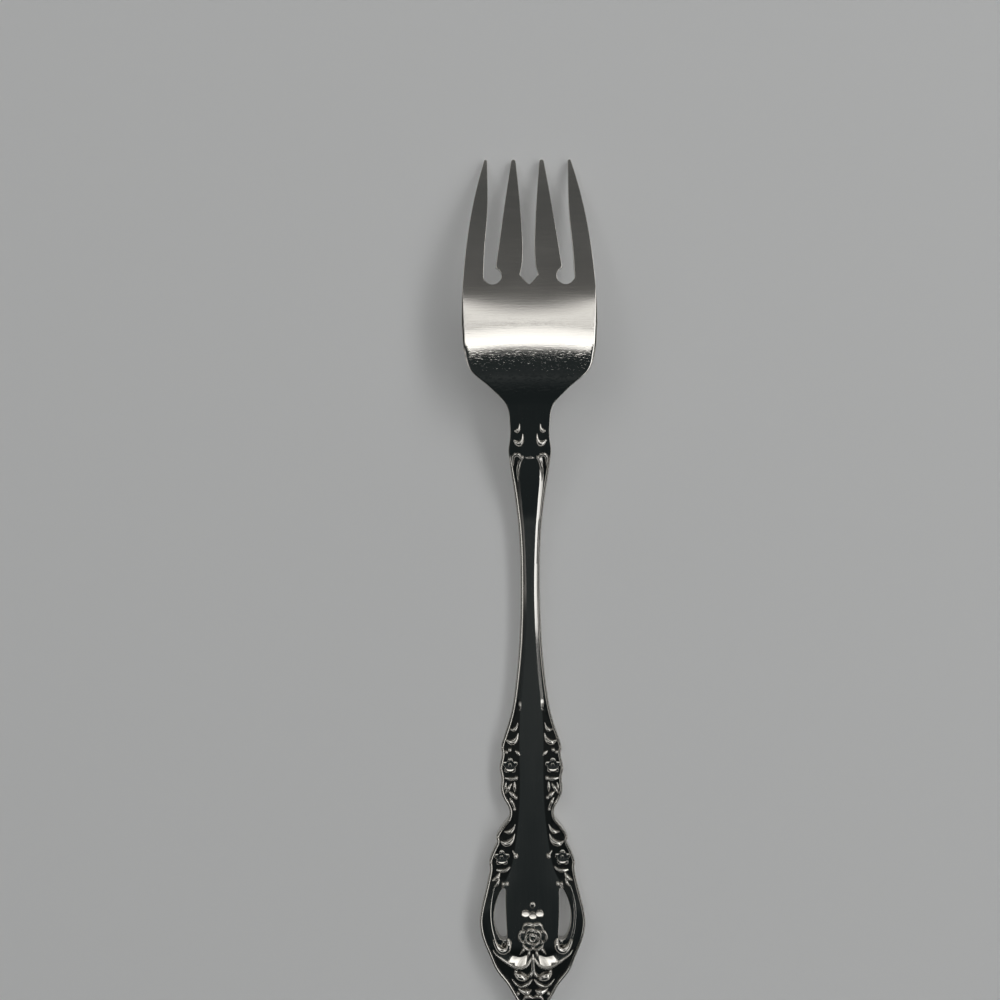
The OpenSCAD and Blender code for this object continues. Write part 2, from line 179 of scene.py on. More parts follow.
# %% Edge loops of the blank
edge_step = 0.3
outer_tip_half = 0.3
inner_tip_half = 0.4
keyhole_x, keyhole_at, keyhole_radius = 6.6, 22.8, 1.6
keyhole_turn = 249
spade_half, spade_at, spade_bulge = 1.6, 22.6, 1.3
inner_tip_x = 2.6
gap_end = keyhole_at + keyhole_radius
handle_round = 0.5
slot_inner_side, slot_inner_lean, slot_inner_bow = 4.93, -0.18, 0.45
slot_outer_side, slot_outer_lean, slot_outer_bow = 7.05, 0.29, 0.93
slot_end_bluntness = 0.55


def along(start, end, step=edge_step):
    """Evenly spaced stations from start to end."""
    return np.linspace(start, end, max(2, int(abs(end - start) / step) + 1))


def plan_points(x, station):
    """Plan points from places across the fork and stations, either of which may be one value for all."""
    return np.stack(np.broadcast_arrays(x, station), 1)


def arc(x, station, radius, start, end, count):
    """Points on a circle in the plan; 0 degrees is +x and 90 degrees is towards the handle."""
    angle = np.radians(np.linspace(start, end, count))
    return plan_points(x + radius * np.cos(angle), station + radius * np.sin(angle))


def right_half_of_edge():
    """The edge from the handle's end, round both right tines, to the bottom of the middle gap."""
    turn = np.linspace(0, math.pi / 2, 8)[:-1]
    end_half = float(half_width(length - handle_round))
    end = plan_points(end_half * np.sin(turn), length - handle_round + handle_round * np.cos(turn))
    side_at = np.unique(np.concatenate([along(outer_tip_half, length - handle_round), seams_at]))[::-1]
    side = plan_points(half_width(side_at), side_at)
    outer_tip_x = float(half_width(outer_tip_half)) - outer_tip_half
    outer_tip = arc(outer_tip_x, outer_tip_half, outer_tip_half, 0, -180, 9)[1:]
    gap_at = along(outer_tip_half, keyhole_at)[1:-1]
    gap_edge = [(0, outer_tip_x - outer_tip_half), (10.2, 7.42), (18.3, 7.99), (keyhole_at, 8.2)]
    outer_gap = plan_points(curve_through(gap_edge, gap_at), gap_at)
    keyhole = arc(keyhole_x, keyhole_at, keyhole_radius, 0, keyhole_turn, 26)
    inner_at = along(keyhole[-1, 1], inner_tip_half)[1:]
    inner_edge = [(0, inner_tip_x + inner_tip_half), (keyhole[-1, 1], keyhole[-1, 0])]
    inner_gap = plan_points(curve_through(inner_edge, inner_at), inner_at)
    inner_tip = arc(inner_tip_x, inner_tip_half, inner_tip_half, 0, -180, 9)[1:]
    middle_at = along(inner_tip_half, spade_at)[1:]
    middle_edge = [(0, inner_tip_x - inner_tip_half), (12.2, 1.28), (18.3, 1.05), (20.8, 1.22)]
    middle_edge.append((spade_at, spade_half))
    middle_gap = plan_points(curve_through(middle_edge, middle_at), middle_at)
    spade_x = np.linspace(spade_half, 0, 8)[1:]
    spade = plan_points(spade_x, gap_end - (gap_end - spade_at) * (spade_x / spade_half) ** spade_bulge)
    return np.concatenate([end, side, outer_tip, outer_gap, keyhole, inner_gap, inner_tip, middle_gap, spade])


def pierced_slot(side):
    """One slot of the handle: a bowed opening, narrower towards the panel's end, with blunt round ends."""
    turn = np.linspace(0, 2 * math.pi, 72, endpoint=False)
    share = np.sin(turn)
    inner = slot_inner_side + slot_inner_lean * share - slot_inner_bow * share**2
    outer = slot_outer_side + slot_outer_lean * share - slot_outer_bow * share**2
    half = (outer - inner) / 2 * np.abs(np.cos(turn)) ** slot_end_bluntness
    x = (inner + outer) / 2 + half * np.sign(np.cos(turn))
    return plan_points(side * x, slot_at + slot_half_length * share)


right_edge = right_half_of_edge()
left_edge = (right_edge * [-1, 1])[::-1]
loops = [np.concatenate([right_edge, left_edge[1:-1]]), pierced_slot(1), pierced_slot(-1)]
print("points on the edge loops:", [len(loop) for loop in loops])

# %% [markdown]
# ## Distance from the edge
# The rounding of the edge, the rim and the recessed ground all depend on how far a point lies from the
# edge. A proximity node could measure it on a mesh, but here it is asked for before there is one, so a
# plain search over the edge's short segments answers it for thousands of points at once.

# %% Distance and inside tests
segment_start = np.concatenate(loops)
segment_end = np.concatenate([np.roll(loop, -1, 0) for loop in loops])


def in_batches(points, work, batch=600):
    """Runs a test on a few hundred points at a time, which keeps the arrays small."""
    return np.concatenate([work(points[i:i + batch]) for i in range(0, len(points), batch)])


def edge_distance(points):
    """Distance of each plan point from the nearest edge of the blank."""
    run = segment_end - segment_start
    size = (run**2).sum(1)

    def nearest(part):
        away = part[:, None] - segment_start
        share = np.clip((away * run).sum(2) / size, 0, 1)
        return np.sqrt(((away - share[..., None] * run) ** 2).sum(2).min(1))

    return in_batches(points, nearest)


def inside_blank(points):
    """Whether each plan point is on the metal: a ray to one side crosses the edge an odd number of times."""

    def odd(part):
        x, y = part[:, :1], part[:, 1:]
        (x0, y0), (x1, y1) = segment_start.T, segment_end.T
        spans = (y0 > y) != (y1 > y)
        with np.errstate(divide="ignore", invalid="ignore"):
            crossing = x0 + (y - y0) * (x1 - x0) / (y1 - y0)
        return ((spans & (x < crossing)).sum(1) % 2) == 1

    return in_batches(points, odd)


print("distance from the edge at the crown:", edge_distance(np.array([[0.0, crown_at]])).round(2))

# %% [markdown]
# ## Points of the blank
# A mirror finish shows every uneven triangle, so the points are not scattered: rings follow the edge where
# it is rounded, rails follow the panel's edge where it is bevelled, and an even grid fills the rest. A
# point that comes too close to one placed earlier is left out.

# %% Place the points
ring_depths = [0.04, 0.09, 0.16, 0.26, 0.38, 0.54, 0.72, 0.92, 1.15]
stem_from = 47.0
stem_ring_depth = 0.42
ring_clearance = 0.94
probe_step = 0.02


def edge_rings():
    """Rings of points inside the edge, at the depths where the rounding needs them."""
    rings = []
    for loop in loops:
        tangent = np.roll(loop, -1, 0) - np.roll(loop, 1, 0)
        inward = plan_points(-tangent[:, 1], tangent[:, 0]) / np.linalg.norm(tangent, axis=1)[:, None]
        if not inside_blank(loop[5:6] + probe_step * inward[5:6])[0]:
            inward = -inward
        for depth in ring_depths:
            ring = loop + depth * inward
            keep = inside_blank(ring) & (edge_distance(ring) > ring_clearance * depth)
            keep &= (ring[:, 1] < stem_from) | (depth < stem_ring_depth)
            rings.append(ring[keep])
    return rings


print("rings of points at depths of", ring_depths, "mm")

# %% Rows along the panel
handle_from = 101.8
panel_lip = 0.05
steep_bevel = 0.14
panel_row_step = 0.32
off_edge, off_middle = 0.5, 0.12


def bevel_width(station):
    """Width of the slope that falls from the panel to the ground beside it."""
    return np.interp(station, [46, 54, 57, 59, 80, 90, 100, 101.2, handle_from],
                     [1.3, 0.8, 0.62, 0.72, 0.66, 0.66, 0.66, 0.5, steep_bevel])


def panel_rails():
    """Rows of points along both sides of the panel's edge."""
    at = along(stem_from, rail_from, panel_row_step)
    half, bevel = panel_half(at), bevel_width(at)
    shares = (-0.5, -0.2, -0.06, 0.06, 0.14, 0.5, 0.86, 0.94, 1.06, 1.35)
    sloped = [half + share * bevel for share in shares]
    steep = [half + offset for offset in (-0.3, -0.02, panel_lip + steep_bevel + 0.03, 0.45)]
    rows = []
    for x, wanted in [(x, at < handle_from) for x in sloped] + [(x, at >= handle_from) for x in steep]:
        keep = wanted & (half_width(at) - x > off_edge) & (x > off_middle)
        rows += [plan_points(side * x[keep], at[keep]) for side in (-1, 1)]
    return rows


print("rows along the panel:", len(panel_rails()))

# %% Rows on the tip and the grid
WING_EDGE = [(0, 147.7), (1, 148.6), (2.2, 149.05), (3.4, 148.9), (4.4, 148.4), (6, 147.5), (7.6, 146)]
wing_row_reach = 7.2
grid_step = 0.62
row_share = 0.866
grid_margin = 0.45


def wing_edge(x):
    """Station of the lower edge of the tip's first tier, at a distance from the middle line."""
    return curve_through(WING_EDGE, x)


def tip_rows():
    """Rows of points along the tier's edge, and a finer grid on the tier."""
    right = along(0.15, wing_row_reach, 0.22)
    x = np.concatenate([-right, right])
    offsets = [-0.12, -0.04, 0.04, 0.12, 0.2, *-along(0.35, 2.4, 0.3)]
    points = np.concatenate([plan_points(x, wing_edge(np.abs(x)) + offset) for offset in offsets])
    return points[inside_blank(points) & (edge_distance(points) > grid_margin)]


def fill_grid():
    """An even grid, in rows that are shifted by half a step in turn."""
    rows = []
    for number, station in enumerate(along(0.5, length - 0.5, grid_step * row_share)):
        reach = float(half_width(station))
        x = np.arange(-math.ceil(reach / grid_step), math.ceil(reach / grid_step) + 1) + 0.5 * (number % 2)
        rows.append(plan_points(x * grid_step, station))
    points = np.concatenate(rows)
    points = points[inside_blank(points)]
    return points[edge_distance(points) > grid_margin]


def thinned(groups):
    """Joins groups of (points, least spacing) and leaves out what lies too close to an earlier point."""
    cells, kept = {}, []
    for points, spacing in groups:
        for x, y in points:
            column, row = math.floor(x), math.floor(y)
            near = (q for i in (-1, 0, 1) for j in (-1, 0, 1) for q in cells.get((column + i, row + j), ()))
            if all((q[0] - x) ** 2 + (q[1] - y) ** 2 >= spacing**2 for q in near):
                cells.setdefault((column, row), []).append((x, y))
                kept.append((x, y))
    return kept


print("points on the first tier of the tip:", len(tip_rows()))

# %% [markdown]
# ## Zones
# The CAD model keeps each zone of the fork as a node of its own, so the blank is cut along the same seams.
# Zones modelled one by one would have to be matched by hand. Cut out of one blank, their faces meet point
# for point. The seams go into the triangulation as lines that no triangle may cross.

# %% Seams between the zones
seam_step = 0.5
seam_overrun = 0.3


def with_depths(start, end, from_start=False, from_end=False):
    """Places between two ends, with the ring depths repeated at the ends that lie on an edge."""
    low, high = min(start, end), max(start, end)
    places = set(along(low, high, seam_step).tolist())
    for depth in [-seam_overrun, 0.0] + ring_depths:
        places |= {low + depth} if from_start else set()
        places |= {high - depth} if from_end else set()
    return np.array(sorted(places))


def seam_lines():
    """Seams as lists of plan points, from edge to edge."""
    lines = []
    for station in (tine_root, head_end, neck_end, panel_from, tip_from):
        reach = float(half_width(station))
        lines.append(plan_points(with_depths(-reach, reach, from_start=True, from_end=True), station))
    for x in (-keyhole_x, 0.0, keyhole_x):
        lines.append(plan_points(x, with_depths(gap_end, tine_root, from_start=True)))
    for side in (-1, 1):
        upper = with_depths(panel_from, slot_at - slot_half_length, from_end=True)
        lower = with_depths(slot_at + slot_half_length, tip_from, from_start=True)
        lines += [plan_points(side * panel_half(at), at) for at in (upper, lower)]
        across = with_depths(float(panel_half(rail_from)), float(half_width(rail_from)), from_end=True)
        lines.append(plan_points(side * across, rail_from))
    return lines


def zone_of(x, station):
    """Name of the CAD node that a plan point belongs to."""
    side = "left" if x < 0 else "right"
    if station < tine_root:
        return ("outer" if abs(x) > keyhole_x else "inner") + "_tine_" + side
    for name, end in (("head", head_end), ("neck", neck_end), ("shank", panel_from)):
        if station < end:
            return name
    if station > tip_from:
        return "handle_tip"
    if abs(x) < float(panel_half(station)):
        return "handle_panel"
    return side + ("_shoulder" if station < rail_from else "_rail")


print("seams:", len(seam_lines()))

# %% [markdown]
# ## Triangles
# Blender has a constrained Delaunay triangulation of its own. It splits lines where they cross, so the
# seams may run a little past the edge, and triangles in the gaps and slots are dropped afterwards. A voxel
# remesh could fill the blank too, but it would blur its seams and edges.

# %% Triangulate the blank
same_point = 1e-4
ring_spacing, rail_spacing, tier_spacing, grid_spacing = 0.035, 0.022, 0.06, 0.3


def triangulated_blank():
    """Plan points and triangles of the whole blank."""
    points, edges = [], []
    for number, line in enumerate(loops + seam_lines()):
        start = len(points)
        points += [tuple(p) for p in np.round(line / same_point) * same_point]
        count = len(line)
        closed = number < len(loops)
        edges += [(start + i, start + (i + 1) % count) for i in range(count if closed else count - 1)]
    groups = [(points, 0.0), (np.concatenate(edge_rings()), ring_spacing)]
    groups += [(np.concatenate(panel_rails()), rail_spacing), (tip_rows(), tier_spacing)]
    groups.append((fill_grid(), grid_spacing))
    plan = thinned(groups)
    made = delaunay_2d_cdt(plan, edges, [], 0, same_point)
    plan = np.array([tuple(p) for p in made[0]])
    triangles = np.array([face for face in made[2] if len(face) == 3])
    return plan, triangles[inside_blank(plan[triangles].mean(1))]


plan, triangles = triangulated_blank()
used = np.unique(triangles)
renumbered = np.full(len(plan), -1)
renumbered[used] = np.arange(len(used))
plan, triangles = plan[used], renumbered[triangles]
first, second, third = (plan[triangles[:, i]] for i in range(3))
area = np.cross(second - first, third - first) / 2
zones = np.array([zone_of(x, s) for x, s in plan[triangles].mean(1)])
print("plan points:", len(plan), "triangles:", len(triangles), "area in mm2:", round(float(abs(area).sum())))

# %% [markdown]
# ## Relief of the blank
# The dies leave the panel standing and push the ground beside it down by about a third of a millimetre. The
# edge itself is rounded by tumbling. All of it is one height over the back for each plan point, which is
# simpler to steer than sculpting, and it is the same on both sides of the fork.


# %% Heights of the struck back
def eased(u):
    """A soft step from 0 to 1."""
    u = np.clip(u, 0, 1)
    return u * u * (3 - 2 * u)


def soft_ramp(u, corner=0.1):
    """A straight ramp from 0 to 1 with a little rounding at both ends."""
    low = np.clip((u + corner) / (2 * corner), 0, 1)
    high = np.clip((u - 1 + corner) / (2 * corner), 0, 1)
    return np.clip(u, 0, 1) + corner * ((1 - low) * low - (1 - high) * high) * 0.5


def rounding(distance, width, depth):
    """A soft curve that falls to the edge."""
    share = 1 - np.clip(distance / width, 0, 1)
    return -depth * share**2


def ground_depth(station):
    """Depth of the ground beside the panel."""
    return np.interp(station, [47, 51, 54.8, 56.2, 80, 90, 100, 101.5, 133, 136, 145, 147, 155, 159],
                     [0, 0.06, 0.1, 0.3, 0.28, 0.2, 0.2, 0.34, 0.36, 0.3, 0.3, 0.34, 0.3, 0.2])


def slot_side(station):
    """How far a slot's outer side lies from the middle line."""
    rise = np.clip((station - slot_at) / slot_half_length, -1, 1) * slot_half_length
    return slot_reach + slot_width / 2 - rise**2 / (2 * slot_bow_radius)


print("ground beside the panel in mm:", ground_depth([60, 110, 140]).round(2))

# %% Border, rails and the tier of the tip
border_from, border_height = 55, -0.1
border_width, border_slope, border_reach = 0.3, 0.12, 1.2
rail_rise, rail_drop = 0.16, 0.22
rail_run_in, rail_run_out = 6, 2
rose_at = 143.4
wing_length, wing_drop, wing_reach = 1.9, 0.14, 7.6
flute_count, flute_depth = 18, 0.09


def border_share(x, station, distance):
    """How much of the raised border along the stem's outer edge a plan point is on."""
    near_outline = (half_width(station) - x < border_reach) & (station > border_from)
    return near_outline * eased((border_width - distance) / border_slope)


def rail_share(x, station):
    """How much of the rail beside a slot a plan point is on."""
    starts = eased((station - rail_from) / rail_run_in)
    ends = eased((tip_from + 1 - station) / rail_run_out)
    return (x > panel_half(station)) * starts * ends


def rail_height(x, station):
    """Height of the rounded rail between a slot and the outer edge."""
    width = np.maximum(half_width(station) - slot_side(station), 0.1)
    across = np.clip((x - slot_side(station)) / width, 0, 1)
    return rail_rise * np.sin(math.pi * across) - rail_drop


def wing_height(x, station):
    """Height of the tip's first tier, which swells towards its lower edge and is fluted from the rose."""
    run = station - wing_edge(np.minimum(x, wing_reach))
    tier = np.where(run < 0, np.clip(1 + run / wing_length, 0, 1), 1 - np.clip(run / wing_drop, 0, 1))
    fluted = 1 + flute_depth * np.cos(flute_count * np.arctan2(x, station - rose_at))
    swell = np.interp(x, [0.1, 0.9, 1.5, 3.2, 4.2, 6.2, 7.4], [0, 0.3, 0.48, 0.48, 0.3, 0.2, 0])
    return fluted * tier * swell


print("highest point of the tier in mm:", wing_height(np.array([2.2]), wing_edge(np.array([2.2]))).round(2))

# %% Whole relief
tip_thickness, front_rounding = 1.0, 0.3
heel_twist, twist_at = 7.7e-5, 40
twist_from, twist_run_in, twist_to, twist_run_out = 26, 6, 52, 8
deep_ground, rail_polish, polished_above = 0.3, 0.6, 0.15
tip_ground_from, tip_ground_run = 144.2, 2.2
ROUNDING_AT = [0, 24.8, 31, 37, 41, head_end, 55, 60, length]
ROUNDING_WIDTH = [0.05, 0.06, 0.8, 0.8, 0.25, 0.2, 0.15, 0.08, 0.08]
ROUNDING_DROP = [0.05, 0.06, 0.3, 0.3, 0.1, 0.08, 0.08, 0.08, 0.08]


def back_relief(points, distance):
    """Height over the back, and how recessed each plan point is from 0 to 1."""
    x, station = np.abs(points[:, 0]), points[:, 1]
    panel, depth = panel_half(station), ground_depth(station)
    lip = panel_lip * (station > handle_from)
    fall = soft_ramp((x - panel - lip) / bevel_width(station))
    crown = np.interp(station, [50, 60, 100, 115, 140], [0.0, 0.05, 0.06, 0.1, 0.12])
    height = crown * (1 - np.clip(x / panel, 0, 1) ** 2) - depth * fall
    on_rail = rail_share(x, station)
    height = height * (1 - on_rail) + on_rail * rail_height(x, station)
    into_tip = eased((station - tip_ground_from) / tip_ground_run)
    height = height * (1 - into_tip) - depth * into_tip
    wing = wing_height(x, station)
    across_head = eased((station - twist_from) / twist_run_in) * eased((twist_to - station) / twist_run_out)
    height += wing + across_head * heel_twist * x**2 * (station - twist_at)
    # The recess share later dulls the steel and paints shade into its colour.
    beside_panel = fall * np.clip(depth / deep_ground, 0, 1) * (1 - rail_polish * on_rail)
    recess = np.maximum(beside_panel, into_tip) * (1 - np.clip(wing / polished_above, 0, 1))
    on_border = border_share(x, station, distance)
    height = height * (1 - on_border) + border_height * on_border
    width = np.interp(station, ROUNDING_AT, ROUNDING_WIDTH)
    drop = np.interp(station, ROUNDING_AT, ROUNDING_DROP)
    return height + rounding(distance, width, drop), recess * (1 - on_border)


def thickness(station):
    """Thickness of the rolled strip: thin at the tips, thickest at the neck."""
    return np.interp(station, [0, 20.35, 37, 51, 68, 145.5, length],
                     [tip_thickness, 1.675, 1.9, 2.7, 2.5, 2.5, 2.2])


distance = edge_distance(plan)
top, recess = back_relief(plan, distance)
bottom = -thickness(plan[:, 1]) - rounding(distance, front_rounding, front_rounding)
print("relief from", round(float(top.min()), 2), "to", round(float(top.max()), 2), "mm over the back")

# %% [markdown]
# ## Adding nodes to a tree
# Geometry trees and materials are both built from nodes. One small function makes a node, sets its options
# and fills each input with a value, a socket or another node's first output. Clicking them together by hand
# would give the same trees, but a script can be read, compared and run again.


# %% One node at a time
def add(tree, kind, inputs=None, **settings):
    """Adds a node to a tree and returns it."""
    made = tree.nodes.new(kind)
    for name, value in settings.items():
        setattr(made, name, value)
    for key, value in (inputs or {}).items():
        if isinstance(value, bpy.types.Node):
            value = value.outputs[0]
        if isinstance(value, bpy.types.NodeSocket):
            tree.links.new(value, made.inputs[key])
        else:
            made.inputs[key].default_value = value
    return made


def linear(hex_colour):
    """A colour picked as sRGB hex, as the linear values that a shader takes."""
    parts = [int(hex_colour[i:i + 2], 16) / 255 for i in (1, 3, 5)]
    return [p / 12.92 if p <= 0.04045 else ((p + 0.055) / 1.055) ** 2.4 for p in parts] + [1.0]


print("steel grey in linear light:", [round(v, 3) for v in linear("#cfcdc9")])

# %% [markdown]
# ## Polished stainless steel
# Stainless cutlery is ground, then buffed on cotton wheels until it mirrors. What is left is a faint drag
# of very fine lines the way the wheel ran, a few smudges, and duller metal in the ground of the ornament,
# where no wheel reaches. That ground is also painted darker, which is painted shade. The heel is nicked,
# because a fork that lies face up rests on it. Image textures could show all this, but noise on Object
# coordinates needs no files and keeps its real scale.
# Real buffing lines are about 0.02 mm wide: here they are 0.12 mm, to show at all.

# %% Steel finishes
buffing_line_mm = 0.12
buffing_length_mm = 6.0
smudge_mm = 9.0
nick_mm = 0.3
nick_length_mm = 0.7
heel_from, heel_full, heel_to = 36.2, 41.0, 42.0
wear_before_heel, wear_on_heel, wear_past_heel = 0.12, 1.9, 0.04
nick_from, nick_full = 0.52, 0.7
line_low, line_high = 0.3, 0.7
smudge_from, smudge_full = 0.35, 0.7
nick_depth, line_depth, bump_mm = 1.5, 0.45, 0.02
mirror_from, satin_to = 30.0, 18.0
line_gloss_least, line_gloss_most = 0.8, 1.25
# The darker grey that is mixed into the struck ground is painted shade.
smudge_dulling, ground_dulling, painted_shade_share = 0.035, 0.03, 0.6
buffed_grey, painted_shade_grey = "#d4d1cb", "#3a3835"


def y_of(station):
    """Place on the object's Y axis, in metres, of a station."""
    return (half_length - station) * MM


def worn_height(tree, place, lines):
    """Height of the buffing lines and of the nicks, which are deepest on the heel."""
    nick_scale = (1 / (nick_length_mm * MM), 1 / (nick_mm * MM), 1 / (nick_mm * MM))
    drawn_out = add(tree, "ShaderNodeMapping", {"Vector": place, "Scale": nick_scale})
    specks = add(tree, "ShaderNodeTexNoise", {"Vector": drawn_out, "Scale": 1.0, "Detail": 2.0})
    nicks = add(tree, "ShaderNodeMapRange", {0: specks, 1: nick_from, 2: nick_full, 3: 0.0, 4: nick_depth})
    along_fork = add(tree, "ShaderNodeSeparateXYZ", {0: place}).outputs["Y"]
    on_heel = add(tree, "ShaderNodeMapRange",
                  {0: along_fork, 1: y_of(heel_from), 2: y_of(heel_full),
                   3: wear_before_heel, 4: wear_on_heel})
    off_heel = add(tree, "ShaderNodeMapRange",
                   {0: along_fork, 1: y_of(heel_to), 2: y_of(head_end), 3: 1.0, 4: wear_past_heel})
    heel = add(tree, "ShaderNodeMath", {0: on_heel, 1: off_heel}, operation="MULTIPLY")
    worn = add(tree, "ShaderNodeMath", {0: nicks, 1: heel}, operation="MULTIPLY")
    return add(tree, "ShaderNodeMath", {0: lines, 1: line_depth, 2: worn}, operation="MULTIPLY_ADD")


def buffed_roughness(tree, place, lines, struck, roughness, roughness_at_tips):
    """Roughness of the mirror: duller at the tips, in smudges and in the struck ground."""
    along_fork = add(tree, "ShaderNodeSeparateXYZ", {0: place}).outputs["Y"]
    base = add(tree, "ShaderNodeMapRange",
               {0: along_fork, 1: y_of(mirror_from), 2: y_of(satin_to), 3: roughness, 4: roughness_at_tips})
    line_gloss = add(tree, "ShaderNodeMapRange",
                     {0: lines, 1: line_low, 2: line_high, 3: line_gloss_least, 4: line_gloss_most})
    buffed = add(tree, "ShaderNodeMath", {0: base, 1: line_gloss}, operation="MULTIPLY")
    smudges = add(tree, "ShaderNodeTexNoise", {"Vector": place, "Scale": 1 / (smudge_mm * MM), "Detail": 3.0})
    smudged = add(tree, "ShaderNodeMapRange",
                  {0: smudges, 1: smudge_from, 2: smudge_full, 3: 0.0, 4: smudge_dulling})
    dull = add(tree, "ShaderNodeMath", {0: struck, 1: ground_dulling, 2: smudged}, operation="MULTIPLY_ADD")
    return add(tree, "ShaderNodeMath", {0: buffed, 1: dull}, operation="ADD")


def steel(name, hex_colour, roughness, roughness_at_tips, wear, across):
    """A buffed steel: a mirror with faint buffing lines across the fork or along it, and duller tine tips."""
    material = bpy.data.materials.new(name)
    material.use_nodes = True
    tree = material.node_tree
    shader = tree.nodes["Principled BSDF"]
    shader.inputs["Metallic"].default_value = 1.0
    place = add(tree, "ShaderNodeTexCoord").outputs["Object"]
    struck = add(tree, "ShaderNodeAttribute", attribute_name="recess").outputs["Fac"]
    fine, coarse = 1 / (buffing_line_mm * MM), 1 / (buffing_length_mm * MM)
    stretch = (coarse, fine, coarse) if across else (fine, coarse, coarse)
    stretched = add(tree, "ShaderNodeMapping", {"Vector": place, "Scale": stretch})
    lines = add(tree, "ShaderNodeTexNoise", {"Vector": stretched, "Scale": 1.0, "Detail": 2.0})
    rough = buffed_roughness(tree, place, lines, struck, roughness, roughness_at_tips)
    tree.links.new(rough.outputs[0], shader.inputs["Roughness"])
    tint = add(tree, "ShaderNodeMix", {0: lines, 6: linear(hex_colour), 7: linear(buffed_grey)},
               data_type="RGBA")
    # The struck ground gets a darker base colour: painted shade.
    painted_shade = add(tree, "ShaderNodeMath", {0: struck, 1: painted_shade_share}, operation="MULTIPLY")
    shade = add(tree, "ShaderNodeMix", {0: painted_shade, 6: tint.outputs[2], 7: linear(painted_shade_grey)},
                data_type="RGBA")
    tree.links.new(shade.outputs[2], shader.inputs["Base Color"])
    scratched = worn_height(tree, place, lines)
    bump = add(tree, "ShaderNodeBump", {"Height": scratched, "Strength": wear, "Distance": bump_mm * MM})
    tree.links.new(bump.outputs[0], shader.inputs["Normal"])
    return material


blade_steel = steel("buffed_stainless_mirror", "#c9c7c3", roughness=0.06, roughness_at_tips=0.16,
                    wear=0.17, across=True)
stem_steel = steel("buffed_stainless_stem", "#c9c7c3", roughness=0.11, roughness_at_tips=0.11,
                   wear=0.12, across=False)
struck_steel = steel("die_struck_stainless", "#cfccc6", roughness=0.07, roughness_at_tips=0.07,
                     wear=0.02, across=False)
print("finishes:", [m.name for m in (blade_steel, stem_steel, struck_steel)])

# %% [markdown]
# ## The press
# The arch of a fork follows a rule: a circle from the tips to the crown, a soft S down the heel, and a long
# shallow sweep through the handle. A Geometry Nodes tree holds that rule once, with its sizes as inputs,
# and lifts any flat piece to the height of the back at its station. The last step stops at the table, as
# the flat land under the handle does. A lattice could bend the pieces too, but a rule with named sizes
# bends them all exactly alike.


# %% Start and end of a geometry tree
def new_tree(name, sizes, counts=()):
    """An empty geometry tree with named inputs for its sizes, its counts and its material."""
    tree = bpy.data.node_groups.new(name, "GeometryNodeTree")
    tree.interface.new_socket("Geometry", in_out="OUTPUT", socket_type="NodeSocketGeometry")
    inputs = [("Geometry", "Geometry")] + [(size, "Float") for size in sizes]
    inputs += [(count, "Int") for count in counts] + [("Material", "Material")]
    for socket, kind in inputs:
        tree.interface.new_socket(socket, in_out="INPUT", socket_type="NodeSocket" + kind)
    return tree


def end_tree(tree, real_shape, material):
    """Gives a shape of real faces its material and hands it out."""
    painted = add(tree, "GeometryNodeSetMaterial", {"Geometry": real_shape, "Material": material})
    add(tree, "NodeGroupOutput", {0: painted})


crown_height = 9.4
level_at, rest_at, rest_height = 68.0, 100.0, 2.42
sweep_radius = 900.0
arch_rise = crown_height - tip_thickness
arch_radius = (crown_at**2 + arch_rise**2) / (2 * arch_rise)
PRESS_SIZES = {
    "Half Length": half_length * MM, "Crown At": crown_at * MM, "Crown Height": crown_height * MM,
    "Arch Radius": arch_radius * MM, "Level At": level_at * MM, "Rest At": rest_at * MM,
    "Rest Height": rest_height * MM, "Sweep": sweep_radius * MM,
}
print("arch radius in mm:", round(arch_radius, 1))


